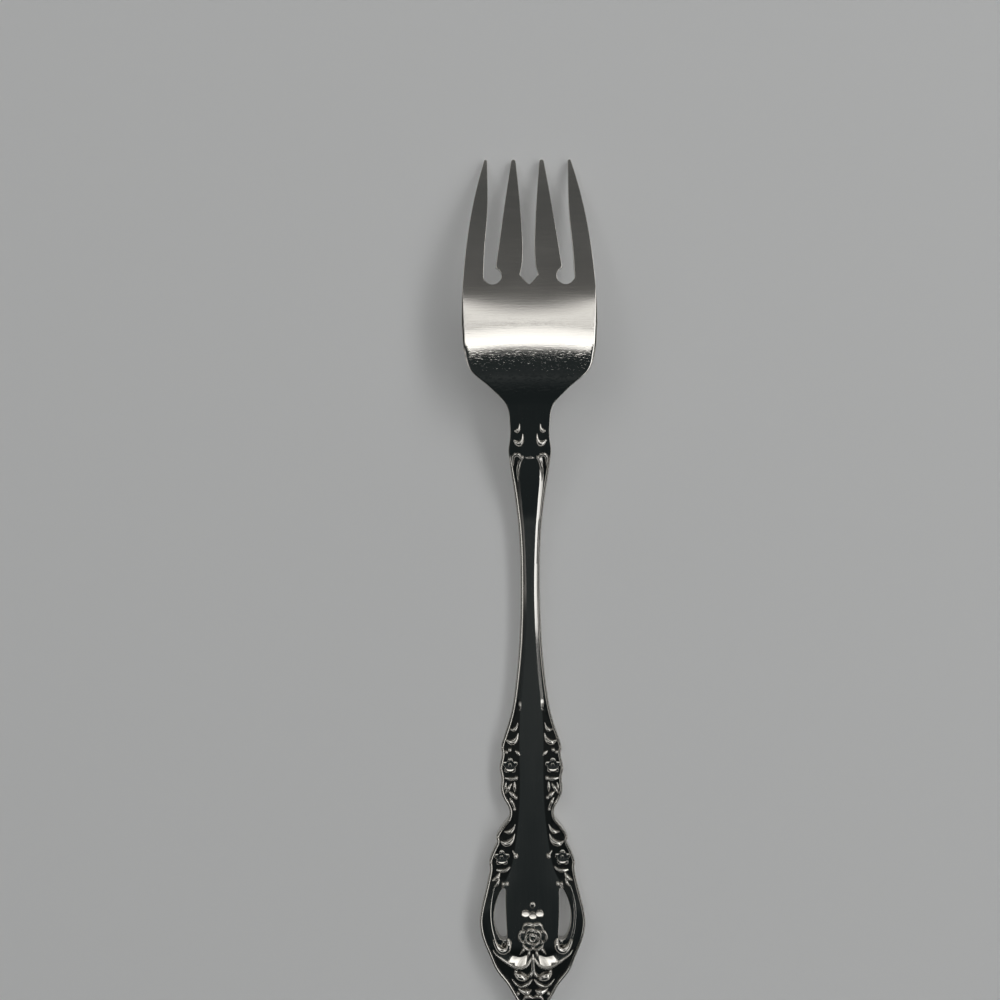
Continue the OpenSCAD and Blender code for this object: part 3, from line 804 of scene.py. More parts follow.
# %% Press tree
def fill_press(tree):
    """Builds the rule of the arch."""
    given = add(tree, "NodeGroupInput").outputs
    axes = add(tree, "ShaderNodeSeparateXYZ", {0: add(tree, "GeometryNodeInputPosition")}).outputs
    station = add(tree, "ShaderNodeMath", {0: given["Half Length"], 1: axes["Y"]}, operation="SUBTRACT")
    short = add(tree, "ShaderNodeMath", {0: given["Crown At"], 1: station}, operation="SUBTRACT")
    short_squared = add(tree, "ShaderNodeMath", {0: short, 1: short}, operation="MULTIPLY")
    radius_squared = add(tree, "ShaderNodeMath", {0: given["Arch Radius"], 1: 2.0}, operation="POWER")
    left_over = add(tree, "ShaderNodeMath", {0: radius_squared, 1: short_squared}, operation="SUBTRACT")
    rise = add(tree, "ShaderNodeMath", {0: left_over}, operation="SQRT")
    centre = add(tree, "ShaderNodeMath", {0: given["Crown Height"], 1: given["Arch Radius"]},
                 operation="SUBTRACT")
    arch = add(tree, "ShaderNodeMath", {0: centre, 1: rise}, operation="ADD")
    from_rest = add(tree, "ShaderNodeMath", {0: station, 1: given["Rest At"]}, operation="SUBTRACT")
    squared = add(tree, "ShaderNodeMath", {0: from_rest, 1: from_rest}, operation="MULTIPLY")
    twice = add(tree, "ShaderNodeMath", {0: given["Sweep"], 1: 2.0}, operation="MULTIPLY")
    swept = add(tree, "ShaderNodeMath", {0: squared, 1: twice}, operation="DIVIDE")
    handle = add(tree, "ShaderNodeMath", {0: swept, 1: given["Rest Height"]}, operation="ADD")
    heel = add(tree, "ShaderNodeMapRange", {0: station, 1: given["Crown At"], 2: given["Level At"]},
               interpolation_type="SMOOTHSTEP")
    behind = add(tree, "ShaderNodeMix", {0: heel, 2: given["Crown Height"], 3: handle})
    before_crown = add(tree, "ShaderNodeMath", {0: station, 1: given["Crown At"]}, operation="LESS_THAN")
    back = add(tree, "ShaderNodeMix", {0: before_crown, 2: behind, 3: arch})
    lifted = add(tree, "ShaderNodeMath", {0: axes["Z"], 1: back}, operation="ADD")
    on_table = add(tree, "ShaderNodeMath", {0: lifted, 1: 0.0}, operation="MAXIMUM")
    bent = add(tree, "ShaderNodeCombineXYZ", {0: axes["X"], 1: axes["Y"], 2: on_table})
    moved = add(tree, "GeometryNodeSetPosition", {"Geometry": given["Geometry"], "Position": bent})
    end_tree(tree, add(tree, "GeometryNodeRealizeInstances", {0: moved}), given["Material"])


press = new_tree("press", PRESS_SIZES)
fill_press(press)
print("nodes of the press:", len(press.nodes))

# %% [markdown]
# ## Running trees on a piece
# A piece starts as a mesh of points, edges or faces in the flat. Its trees are added as modifiers, each
# input is set by its identifier, and the evaluated result is copied out as a plain mesh, so nothing live is
# left. Every piece of the ornament then takes the same way: its own tree, the press, smooth faces.


# %% Helpers for flat pieces
def flat_mesh(name, points, heights, edges=(), faces=()):
    """A mesh in the flat, from plan points and heights in millimetres."""
    mesh = bpy.data.meshes.new(name)
    points = np.asarray(points, float).reshape(-1, 2)
    place = np.stack([points[:, 0], half_length - points[:, 1], np.asarray(heights, float)], 1) * MM
    mesh.from_pydata(place.tolist(), list(edges), list(faces))
    return mesh


def put_attribute(mesh, name, kind, values):
    """Adds a value to each point of a mesh."""
    layer = mesh.attributes.new(name, kind, "POINT")
    layer.data.foreach_set("value", values)


def made_by(mesh, steps):
    """The plain mesh that a mesh becomes after (tree, values) steps."""
    carrier = bpy.data.objects.new(mesh.name, mesh)
    bpy.context.scene.collection.objects.link(carrier)
    for tree, values in steps:
        modifier = carrier.modifiers.new(tree.name, "NODES")
        modifier.node_group = tree
        for socket in tree.interface.items_tree:
            if socket.in_out == "INPUT" and socket.name in values:
                modifier[socket.identifier] = values[socket.name]
    shown = carrier.evaluated_get(bpy.context.evaluated_depsgraph_get())
    result = bpy.data.meshes.new_from_object(shown)
    bpy.data.objects.remove(carrier)
    return result


def finish_piece(name, mesh, slot, *nodes):
    """Makes the piece's object and gives it to the frame in place of its CAD nodes."""
    piece = bpy.data.objects.new(name, mesh)
    bpy.context.scene.collection.objects.link(piece)
    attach(piece, "root")
    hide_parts(*nodes)
    return piece


def struck_piece(name, mesh, tree, sizes):
    """Runs an ornament's own tree and the press, and puts it in place of the CAD node of its name."""
    steps = [(tree, sizes), (press, PRESS_SIZES)]
    bent = made_by(mesh, [(step, dict(values, Material=struck_steel)) for step, values in steps])
    bent.polygons.foreach_set("use_smooth", [True] * len(bent.polygons))
    print(name, "faces:", len(bent.polygons))
    return finish_piece("steel_" + name, bent, "polished_steel", name)


crown_probe = made_by(flat_mesh("crown_probe", [(0, crown_at)], [0.0]), [(press, PRESS_SIZES)])
print("back at the crown in mm:", round(crown_probe.vertices[0].co.z / MM, 2))

# %% [markdown]
# ## Bending the blank
# The blank goes through the press whole, so its smooth normals run on over every seam. The zones are cut
# out afterwards and keep those normals: each becomes a closed solid, and no seam shows in the mirror.

# %% Press the blank
normal_step = 0.02
plain_from = 0.55
on_blade = dict(PRESS_SIZES, Material=blade_steel)
both_recess = np.concatenate([recess, np.zeros(len(plan))])


def open_sides(faces):
    """Sides of triangles that no other triangle of the same set shares."""
    sides = np.concatenate([faces[:, [0, 1]], faces[:, [1, 2]], faces[:, [2, 0]]]).tolist()
    twins = {tuple(side) for side in sides}
    return [(a, b) for a, b in sides if (b, a) not in twins]


def plate_faces(faces, border):
    """Faces of a plate: its top, its bottom, whose points follow those of the top, and its walls."""
    below = len(plan)
    walls = [(b, a, a + below, b + below) for a, b in border]
    return faces.tolist() + (faces[:, ::-1] + below).tolist() + walls


def slope_normals(points):
    """Normals of the pressed back, from the places of three points that lie close together."""
    probes = np.concatenate([points, points + [normal_step, 0], points + [0, normal_step]])
    heights = back_relief(probes, edge_distance(probes))[0]
    bent = made_by(flat_mesh("probes", probes, heights), [(press, on_blade)])
    here, beside, behind = np.array([v.co for v in bent.vertices]).reshape(3, -1, 3)
    upright = np.cross(behind - here, beside - here)
    return upright / np.linalg.norm(upright, axis=1)[:, None]


def pressed_blank():
    """The whole blank after the press: its triangles, rim, places and smooth normals."""
    face_list = np.where((area > 0)[:, None], triangles[:, ::-1], triangles)
    rim = open_sides(face_list)
    faces = plate_faces(face_list, rim)
    mesh = flat_mesh("blank", np.tile(plan, (2, 1)), np.concatenate([top, bottom]), faces=faces)
    mesh.polygons.foreach_set("use_smooth", [True] * len(faces))
    bent = made_by(mesh, [(press, on_blade)])
    place = np.array([v.co for v in bent.vertices])
    normal = np.array([v.vector for v in bent.vertex_normals])
    plain = np.flatnonzero(distance > plain_from)
    normal[plain] = slope_normals(plan[plain])
    return face_list, set(rim), place, normal


face_list, rim_edges, place, normal = pressed_blank()
print("pressed blank in mm:", np.ptp(place / MM, axis=0).round(2))


# %% Cut the zones
def zone_piece(zone, material, slot):
    """One zone of the blank as a closed solid in place of its CAD node."""
    chosen = face_list[zones == zone]
    border = open_sides(chosen)
    faces = plate_faces(chosen, border)
    used_points = sorted({p for face in faces for p in face})
    number = {p: i for i, p in enumerate(used_points)}
    mesh = bpy.data.meshes.new("steel_" + zone)
    mesh.from_pydata(place[used_points].tolist(), [], [[number[p] for p in face] for face in faces])
    put_attribute(mesh, "recess", "FLOAT", both_recess[used_points])
    mesh.materials.append(material)
    mesh.polygons.foreach_set("use_smooth", [True] * len(faces))
    first_wall = 2 * len(chosen)
    seam = {first_wall + i for i, side in enumerate(border) if side not in rim_edges}
    flat_normals = [tuple(p.normal) for p in mesh.polygons]
    smooth_normals = [tuple(n) for n in normal[used_points]]
    corner_normals = []
    for face in mesh.polygons:
        flat = flat_normals[face.index]
        corner_normals += [flat if face.index in seam else smooth_normals[p] for p in face.vertices]
    mesh.normals_split_custom_set(corner_normals)
    return finish_piece("steel_" + zone, mesh, slot, zone)


tine_zones = [kind + "_tine_" + side for kind in ("outer", "inner") for side in ("left", "right")]
struck_zones = [side + kind for side in ("left", "right") for kind in ("_shoulder", "_rail")] + ["handle_tip"]
for zone in tine_zones:
    zone_piece(zone, blade_steel, "satin_steel")
zone_piece("head", blade_steel, "polished_steel")
for zone in ["neck", "shank", "handle_panel"]:
    zone_piece(zone, stem_steel, "polished_steel")
for zone in struck_zones:
    zone_piece(zone, struck_steel, "polished_steel")
print("zones cut:", sorted(set(zones.tolist())))

# %% [markdown]
# ## Rims
# A fine rim runs along each edge of the stem. It is higher at the edge and leans down to the ground, so it
# catches light as one thin line. It could be a step in the relief, but a swept section has the smoother
# sides that a mirror needs. A Geometry Nodes tree sweeps one flat oval along the outline, moved inwards and
# turned to lean, and thins it out at both ends.

# %% Rim tree
rim_from, rim_to = 55.0, length - 1.6
rim_height = -0.17
rim_step = 0.22
rim_end_share, rim_end_thickness = 0.02, 0.2
RIM_SIZES = {"Half Width": 0.22 * MM, "Half Height": 0.11 * MM, "Lean": math.radians(28), "Inset": 0.33 * MM}


def fill_rim(tree):
    """Sweeps a leaning oval along a path."""
    given = add(tree, "NodeGroupInput").outputs
    line = add(tree, "GeometryNodeMeshToCurve", {0: given["Geometry"]})
    even = add(tree, "GeometryNodeResampleCurve", {"Curve": line, "Length": rim_step * MM}, mode="LENGTH")
    level = add(tree, "GeometryNodeSetCurveNormal", {"Curve": even}, mode="Z_UP")
    inward = add(tree, "ShaderNodeVectorMath", {0: add(tree, "GeometryNodeInputTangent"), 1: (0, 0, 1)},
                 operation="CROSS_PRODUCT")
    inset = add(tree, "ShaderNodeMath", {0: given["Inset"], 1: given["Side"]}, operation="MULTIPLY")
    moved = add(tree, "ShaderNodeVectorMath", {0: inward, "Scale": inset.outputs[0]}, operation="SCALE")
    path = add(tree, "GeometryNodeSetPosition", {"Geometry": level, "Offset": moved})
    share = add(tree, "GeometryNodeSplineParameter").outputs["Factor"]
    middle = add(tree, "ShaderNodeMath", {0: share, 1: 0.5}, operation="SUBTRACT")
    from_middle = add(tree, "ShaderNodeMath", {0: middle}, operation="ABSOLUTE")
    taper = add(tree, "ShaderNodeMapRange",
                {0: from_middle, 1: 0.5, 2: 0.5 - rim_end_share, 3: rim_end_thickness, 4: 1.0})
    oval = add(tree, "ShaderNodeCombineXYZ", {0: given["Half Width"], 1: given["Half Height"], 2: 1.0})
    lean = add(tree, "ShaderNodeMath", {0: given["Lean"], 1: given["Side"]}, operation="MULTIPLY")
    turn = add(tree, "ShaderNodeCombineXYZ", {2: lean})
    circle = add(tree, "GeometryNodeCurvePrimitiveCircle", {"Resolution": 20, "Radius": 1.0})
    section = add(tree, "GeometryNodeTransform", {"Geometry": circle, "Scale": oval, "Rotation": turn})
    swept = add(tree, "GeometryNodeCurveToMesh",
                {"Curve": path, "Profile Curve": section, "Scale": taper.outputs[0], "Fill Caps": True})
    end_tree(tree, add(tree, "GeometryNodeRealizeInstances", {0: swept}), given["Material"])


rim_tree = new_tree("leaning_rim", ["Side", *RIM_SIZES])
fill_rim(rim_tree)
rim_at = along(rim_from, rim_to)
rim_links = [(i, i + 1) for i in range(len(rim_at) - 1)]
for side, name in ((-1, "left_rim"), (1, "right_rim")):
    path = plan_points(side * half_width(rim_at), rim_at)
    mesh = flat_mesh(name, path, np.full(len(rim_at), rim_height), edges=rim_links)
    struck_piece(name, mesh, rim_tree, dict(RIM_SIZES, Side=float(side)))

# %% [markdown]
# ## Struck strokes and beads
# The old ornament books build such a border from a few signs: cupped husks, beads, collars, leaf strokes
# and scrolls. In the die each sign is one cut of a round graver, deep in the middle and thin at its ends.
# So each is drawn as a short line of points with a thickness, and one tree sweeps them all and sets the
# beads.

# %% Stroke tree
stroke_step = 0.07
well_inside = 2.0


def fill_strokes(tree):
    """Sweeps every line of points as a graver's stroke and sets a ball on every lone point."""
    given = add(tree, "NodeGroupInput").outputs
    thick = add(tree, "GeometryNodeInputNamedAttribute", {"Name": "thick"}, data_type="FLOAT")
    lone = add(tree, "GeometryNodeInputNamedAttribute", {"Name": "bead"}, data_type="BOOLEAN")
    line = add(tree, "GeometryNodeMeshToCurve", {0: given["Geometry"]})
    smooth = add(tree, "GeometryNodeCurveSplineType", {0: line}, spline_type="CATMULL_ROM")
    even = add(tree, "GeometryNodeResampleCurve", {"Curve": smooth, "Length": given["Step"]}, mode="LENGTH")
    section = add(tree, "GeometryNodeCurvePrimitiveCircle", {"Resolution": 14, "Radius": 1.0})
    swept = add(tree, "GeometryNodeCurveToMesh",
                {"Curve": even, "Profile Curve": section, "Scale": thick, "Fill Caps": True})
    ball = add(tree, "GeometryNodeMeshIcoSphere", {"Radius": 1.0, "Subdivisions": 3})
    balls = add(tree, "GeometryNodeInstanceOnPoints",
                {"Points": given["Geometry"], "Selection": lone, "Instance": ball, "Scale": thick})
    joined = add(tree, "GeometryNodeJoinGeometry", {0: swept})
    tree.links.new(balls.outputs[0], joined.inputs[0])
    end_tree(tree, add(tree, "GeometryNodeRealizeInstances", {0: joined}), given["Material"])


stroke_tree = new_tree("struck_strokes", ["Step"])
fill_strokes(stroke_tree)
print("nodes of the stroke tree:", len(stroke_tree.nodes))


# %% Strokes and beads on the ground
def ground_at(points):
    """Height of the struck ground at plan points, as if no edge were near."""
    return back_relief(points, np.full(len(points), well_inside))[0]


def strokes_piece(name, strokes, beads=(), lift=0.0, seat=0.75):
    """A piece of strokes [(x, station, thickness), ...] and beads on both sides, set on the struck ground."""
    points, edges = [], []
    for side in (-1, 1):
        for stroke in strokes:
            start = len(points)
            points += [(side * x, at, thick, False) for x, at, thick in stroke]
            edges += [(start + i, start + i + 1) for i in range(len(stroke) - 1)]
        points += [(side * x, at, thick, True) for x, at, thick in beads]
    flat = np.array([p[:2] for p in points])
    thick = np.array([p[2] for p in points])
    mesh = flat_mesh(name, flat, ground_at(flat) + seat * thick + lift, edges=edges)
    put_attribute(mesh, "thick", "FLOAT", thick * MM)
    put_attribute(mesh, "bead", "BOOLEAN", [p[3] for p in points])
    return struck_piece(name, mesh, stroke_tree, {"Step": stroke_step * MM})


print("ground under the strokes in mm:", ground_at(np.array([[2.5, 106.0], [4.0, 125.0]])).round(2))

# %% [markdown]
# ## Scrolls of the neck
# Two small cupped husks lie on each side of the neck. Below them the panel begins with a straight collar,
# and an arch springs from each end of it to the rim. A die cutter makes each with a few cuts, and so does
# this list: a stroke is a row of points on the right side, each with its x, station and thickness.
# Sculpting could show more, but a stroke is moved or thickened by one number.

# %% Neck scrolls
neck_strokes = [
    [(1.9, 49.5, 0.05), (1.95, 50.3, 0.22), (2.25, 50.8, 0.33), (2.8, 50.75, 0.12)],
    [(1.3, 51.3, 0.05), (1.4, 52.4, 0.28), (1.8, 53.1, 0.44), (2.4, 53.0, 0.36), (2.95, 52.4, 0.1)],
    [(1.65, 55.7, 0.14), (2.0, 55.2, 0.28), (2.5, 55.05, 0.3), (2.95, 55.4, 0.3), (3.05, 56.1, 0.24),
     (3.0, 57.0, 0.06)],
    [(1.5, 55.8, 0.2), (1.85, 56.4, 0.26), (2.1, 57.2, 0.34), (2.28, 58.4, 0.18), (2.2, 59.8, 0.05)],
    [(0.0, 55.6, 0.18), (0.4, 55.58, 0.16), (0.8, 55.55, 0.06)],
]
strokes_piece("neck_scrolls", neck_strokes, beads=[(1.45, 55.6, 0.3)])

# %% [markdown]
# ## Husks of the shoulders
# Each shoulder starts with two cupped husks, a small one and a larger one below it, that fill the border
# between panel and rim as it widens. A husk could be a hollowed petal, but at this size only its thick
# lower lip is seen, so it is one cupped stroke that thins out at both ends.

# %% Shoulder husks
husk_strokes = [
    [(2.5, 104.4, 0.06), (2.7, 105.2, 0.22), (3.2, 105.7, 0.32), (3.9, 105.6, 0.1)],
    [(2.45, 106.3, 0.06), (2.65, 107.2, 0.3), (3.1, 107.8, 0.46), (3.8, 108.0, 0.46), (4.7, 107.6, 0.12)],
    [(3.1, 123.1, 0.06), (3.45, 123.9, 0.24), (4.1, 124.45, 0.36), (5.1, 124.4, 0.1)],
    [(3.2, 124.8, 0.06), (3.55, 125.8, 0.33), (4.2, 126.45, 0.5), (5.0, 126.6, 0.46), (5.8, 126.2, 0.12)],
]
strokes_piece("shoulder_husks", husk_strokes)

# %% [markdown]
# ## Leaves and collars
# Under each rosette a collar gathers a few leaf strokes, and single beads fill the corners of the border.
# In a real die a bead is one blow of a round punch. Here it is a lone point, on which the stroke tree sets
# a ball: placing balls one by one would do the same with more to keep in order.

# %% Shoulder leaves
leaf_strokes = [
    [(2.1, 110.4, 0.1), (2.5, 110.0, 0.28), (2.95, 109.6, 0.12)],
    [(2.7, 114.6, 0.18), (3.8, 114.75, 0.32), (4.95, 114.55, 0.14)],
    [(3.15, 115.3, 0.12), (3.15, 116.2, 0.32), (3.15, 117.1, 0.1)],
    [(3.7, 115.6, 0.1), (4.3, 116.5, 0.32), (4.9, 117.4, 0.1)],
    [(4.2, 117.1, 0.1), (3.5, 117.7, 0.34), (2.85, 118.3, 0.16)],
    [(4.7, 115.4, 0.08), (4.85, 116.2, 0.24), (4.8, 117.0, 0.08)],
    [(4.05, 118.2, 0.1), (3.7, 118.9, 0.28), (3.35, 119.6, 0.24), (3.2, 120.2, 0.2)],
    [(3.04, 128.8, 0.24), (3.63, 127.9, 0.08)],
    [(4.1, 130.9, 0.12), (4.75, 131.4, 0.28), (5.6, 131.55, 0.33), (6.6, 131.4, 0.14)],
    [(6.0, 131.9, 0.1), (6.45, 132.8, 0.36), (7.4, 133.35, 0.1)],
    [(6.1, 133.0, 0.1), (6.4, 133.8, 0.3), (6.9, 134.4, 0.1)],
]
leaf_beads = [
    (4.0, 109.4, 0.34), (4.6, 109.8, 0.3), (2.85, 114.6, 0.36), (2.9, 118.2, 0.3), (3.2, 120.3, 0.28),
    (3.04, 128.8, 0.42), (4.7, 133.85, 0.34), (5.35, 133.95, 0.34),
    (5.4, 109.0, 0.24), (5.68, 112.8, 0.24), (6.38, 125.4, 0.24), (7.7, 130.0, 0.24),
]
strokes_piece("shoulder_leaves", leaf_strokes, leaf_beads)

# %% [markdown]
# ## Ribs and scrolls of the rails
# Beside each pierced slot a rib follows the bow of the slot, almost flush with the rail. Below the slot a
# scroll turns in towards the panel, as the C-scrolls of the old borders do. Both could be carved out of the
# rail's relief, but as strokes they keep clean sides, and the rib takes its arc from the slot's own bow.

# %% Rails
rib_inset, rib_seat, scroll_lift = 0.8, -0.9, 0.1
rib_radius = slot_bow_radius + slot_width / 2 + rib_inset
rib_turns = np.radians(np.linspace(-21, 19, 9))
rib_x = slot_reach - slot_bow_radius + rib_radius * np.cos(rib_turns)
rib_at = slot_at + rib_radius * np.sin(rib_turns)
rib = list(zip(rib_x, rib_at, [0.16, 0.26, 0.34, 0.38, 0.4, 0.42, 0.42, 0.42, 0.42]))
scroll = [
    (rib_x[-1], rib_at[-1], 0.3), (6.6, 145.2, 0.42), (5.95, 145.9, 0.52), (5.2, 146.0, 0.58),
    (4.6, 145.55, 0.54), (4.4, 144.95, 0.5), (4.42, 144.35, 0.36), (4.55, 143.95, 0.15),
]
strokes_piece("rail_ribs", [rib], seat=rib_seat)
strokes_piece("rail_volutes", [scroll], lift=scroll_lift)

# %% [markdown]
# ## Lobes of the tip
# Three tiers of rounded lobes close the handle below the rose, like a small palmette, and each tier is
# smaller than the one above it. Fine strokes fan out of the rose to the first tier. The first tier's swell
# is part of the blank's relief, because its wide soft slopes would take many strokes. What stands on it is
# strokes again.

# %% Tip lobes
fan_at = 143.6
fan = []
for turn in np.radians([14, 37]):
    x, down = math.sin(turn), math.cos(turn)
    fan.append([(x * r, fan_at + down * r, thick) for r, thick in ((2.4, 0.1), (3.1, 0.26), (4.0, 0.06))])
lobe_strokes = fan + [
    [(0.25, 147.4, 0.12), (1.0, 148.5, 0.24), (2.2, 149.0, 0.28), (3.4, 148.85, 0.26), (4.4, 148.35, 0.24),
     (5.6, 147.6, 0.2), (6.7, 146.8, 0.15), (7.3, 146.0, 0.08)],
    [(0.0, 146.7, 0.1), (0.03, 147.6, 0.3), (0.05, 149.0, 0.26), (0.2, 149.9, 0.28), (0.55, 150.5, 0.32),
     (1.15, 150.7, 0.1)],
    [(0.9, 151.1, 0.15), (1.6, 150.9, 0.55), (2.5, 150.6, 0.66), (3.3, 150.1, 0.3)],
    [(0.2, 151.3, 0.1), (1.0, 152.1, 0.28), (2.0, 152.5, 0.26), (3.0, 152.2, 0.2), (3.9, 151.2, 0.06)],
    [(0.4, 153.2, 0.15), (1.2, 153.5, 0.5), (2.0, 153.3, 0.35), (2.7, 152.9, 0.08)],
    [(0.05, 154.6, 0.12), (0.8, 154.3, 0.28), (1.5, 154.5, 0.24), (1.9, 155.2, 0.08)],
    [(0.0, 155.0, 0.1), (0.0, 156.2, 0.36), (0.0, 157.8, 0.12)],
]
lobe_beads = [(3.15, 149.75, 0.32), (2.75, 153.75, 0.3)]
strokes_piece("tip_lobes", lobe_strokes, lobe_beads)

# %% [markdown]
# ## Rosettes, the rose and its bud
# A struck flower is a ring of petals with a curled lip, a smaller ring on top and a heart. A petal may be
# domed, or cupped like a saucer so that it gathers light on one side, and it may be tilted. It could be
# modelled once and copied by hand, but petals repeat round a centre, so a tree makes one petal, sets it
# round three rings and puts the whole flower on every point.

# %% One petal
saucer_power = 3.0
top_from = -0.01
lip_reach = math.radians(105)


def add_petal(tree, size):
    """One petal at the origin: a low dome or saucer, and a lip that is thick in the middle."""
    ball = add(tree, "GeometryNodeMeshUVSphere", {"Segments": 32, "Rings": 16, "Radius": 1.0})
    axes = add(tree, "ShaderNodeSeparateXYZ", {0: add(tree, "GeometryNodeInputPosition")}).outputs
    plan_place = add(tree, "ShaderNodeCombineXYZ", {0: axes["X"], 1: axes["Y"]})
    from_middle = add(tree, "ShaderNodeVectorMath", {0: plan_place}, operation="LENGTH").outputs["Value"]
    rim_share = add(tree, "ShaderNodeMath", {0: from_middle, 1: saucer_power}, operation="POWER")
    on_top = add(tree, "ShaderNodeMath", {0: axes["Z"], 1: top_from}, operation="GREATER_THAN")
    raised_top = add(tree, "ShaderNodeMath", {0: rim_share, 1: on_top}, operation="MULTIPLY")
    cup = add(tree, "ShaderNodeMath", {0: raised_top, 1: size["Cup"]}, operation="MULTIPLY")
    height = add(tree, "ShaderNodeMath", {0: axes["Z"], 1: size["Dome"], 2: cup}, operation="MULTIPLY_ADD")
    wide = add(tree, "ShaderNodeVectorMath", {0: plan_place, "Scale": size["Petal"]}, operation="SCALE")
    high = add(tree, "ShaderNodeCombineXYZ", {2: height})
    shaped = add(tree, "ShaderNodeVectorMath", {0: wide, 1: high}, operation="ADD")
    body = add(tree, "GeometryNodeSetPosition", {"Geometry": ball, "Position": shaped})
    edge = add(tree, "GeometryNodeCurveArc",
               {"Resolution": 22, "Radius": size["Petal"], "Start Angle": -lip_reach,
                "Sweep Angle": 2 * lip_reach})
    share = add(tree, "GeometryNodeSplineParameter").outputs["Factor"]
    half_turn = add(tree, "ShaderNodeMath", {0: share, 1: math.pi}, operation="MULTIPLY")
    swell = add(tree, "ShaderNodeMath", {0: half_turn}, operation="SINE")
    thick = add(tree, "ShaderNodeMath", {0: swell, 1: size["Lip"]}, operation="MULTIPLY")
    section = add(tree, "GeometryNodeCurvePrimitiveCircle", {"Resolution": 10, "Radius": 1.0})
    lip = add(tree, "GeometryNodeCurveToMesh", {"Curve": edge, "Profile Curve": section, "Scale": thick})
    lip_height = add(tree, "ShaderNodeMath", {0: size["Lip"], 1: size["Cup"]}, operation="ADD")
    up = add(tree, "ShaderNodeCombineXYZ", {2: lip_height})
    raised = add(tree, "GeometryNodeTransform", {"Geometry": lip, "Translation": up})
    petal = add(tree, "GeometryNodeJoinGeometry", {0: body})
    tree.links.new(raised.outputs[0], petal.inputs[0])
    return petal


print("lip round a petal in degrees:", round(math.degrees(2 * lip_reach)))

# %% Flower tree
FLOWER_RINGS = ("Outer", "Inner", "Heart")
RING_LENGTHS = (" Ring", " Petal", " Dome", " Cup", " Lip", " Lift")
RING_ANGLES = (" Turn", " Spread", " Tilt")


def add_ring(tree, size):
    """A ring of petals, each turned to face outwards and tilted."""
    step = add(tree, "ShaderNodeMath", {0: size["Spread"], 1: size["Petals"]}, operation="DIVIDE")
    number = add(tree, "GeometryNodeInputIndex")
    turn = add(tree, "ShaderNodeMath", {0: number, 1: step}, operation="MULTIPLY")
    cosine = add(tree, "ShaderNodeMath", {0: turn}, operation="COSINE")
    sine = add(tree, "ShaderNodeMath", {0: turn}, operation="SINE")
    outward = add(tree, "ShaderNodeCombineXYZ", {0: cosine, 1: sine})
    centre = add(tree, "ShaderNodeVectorMath", {0: outward, "Scale": size["Ring"]}, operation="SCALE")
    points = add(tree, "GeometryNodePoints", {"Count": size["Petals"], "Position": centre})
    spin = add(tree, "ShaderNodeCombineXYZ", {1: size["Tilt"], 2: turn})
    petals = add(tree, "GeometryNodeInstanceOnPoints",
                 {"Points": points, "Instance": add_petal(tree, size), "Rotation": spin})
    lift = add(tree, "ShaderNodeCombineXYZ", {2: size["Lift"]})
    whole_turn = add(tree, "ShaderNodeCombineXYZ", {2: size["Turn"]})
    return add(tree, "GeometryNodeTransform",
               {"Geometry": petals, "Translation": lift, "Rotation": whole_turn})


def fill_flower(tree):
    """Three rings on every point."""
    given = add(tree, "NodeGroupInput").outputs
    flower = add(tree, "GeometryNodeJoinGeometry")
    for ring_name in FLOWER_RINGS:
        size = {key.strip(): given[ring_name + key] for key in RING_LENGTHS + RING_ANGLES + (" Petals",)}
        tree.links.new(add_ring(tree, size).outputs[0], flower.inputs[0])
    placed = add(tree, "GeometryNodeInstanceOnPoints", {"Points": given["Geometry"], "Instance": flower})
    real = add(tree, "GeometryNodeRealizeInstances", {0: placed})
    closed = add(tree, "GeometryNodeMergeByDistance", {"Geometry": real, "Distance": same_point * MM})
    end_tree(tree, closed, given["Material"])


ring_sizes = [ring + size for ring in FLOWER_RINGS for size in RING_LENGTHS + RING_ANGLES]
flower_tree = new_tree("struck_flower", ring_sizes, counts=[ring + " Petals" for ring in FLOWER_RINGS])
fill_flower(flower_tree)
print("nodes of the flower tree:", len(flower_tree.nodes))


# %% Flowers
def ring_of(petals, ring, petal, dome, lip, lift, turn=0, spread=360, tilt=0, cup=0.0):
    """Sizes of one ring of petals: lengths in millimetres, angles in degrees."""
    lengths = zip(RING_LENGTHS, (ring, petal, dome, cup, lip, lift))
    angles = zip(RING_ANGLES, (turn, spread, tilt))
    sizes = {key: value * MM for key, value in lengths}
    sizes.update({key: math.radians(value) for key, value in angles})
    return dict(sizes, **{" Petals": petals})


def flower_piece(name, places, rings):
    """Flowers of three rings at plan points."""
    flat = np.array(places, float)
    sizes = {}
    for ring_name, ring in zip(FLOWER_RINGS, rings):
        sizes.update({ring_name + key: value for key, value in ring.items()})
    return struck_piece(name, flat_mesh(name, flat, ground_at(flat)), flower_tree, sizes)


ROSETTE = [
    ring_of(petals=5, ring=0.92, petal=0.48, dome=0.1, lip=0.06, lift=0.0, turn=90),
    ring_of(petals=1, ring=0.0, petal=0.98, dome=0.02, lip=0.07, lift=0.1, turn=-90, cup=0.11),
    ring_of(petals=1, ring=0.1, petal=0.3, dome=0.03, lip=0.09, lift=0.14, turn=115),
]
ROSE = [
    ring_of(petals=6, ring=1.4, petal=1.12, dome=0.18, lip=0.22, lift=0.05),
    ring_of(petals=4, ring=0.5, petal=0.95, dome=0.16, lip=0.2, lift=0.36, turn=29),
    ring_of(petals=3, ring=0.2, petal=0.48, dome=0.2, lip=0.16, lift=0.62, turn=12),
]
ROSE_BUD = [
    ring_of(petals=2, ring=3.2, petal=0.68, dome=0.05, lip=0.05, lift=0.3, turn=66, spread=96, tilt=15),
    ring_of(petals=1, ring=4.5, petal=0.5, dome=0.16, lip=0.02, lift=0.1, turn=90),
    ring_of(petals=1, ring=2.6, petal=0.66, dome=0.05, lip=0.05, lift=0.36, turn=90, tilt=15),
]
bud_at = 142.2
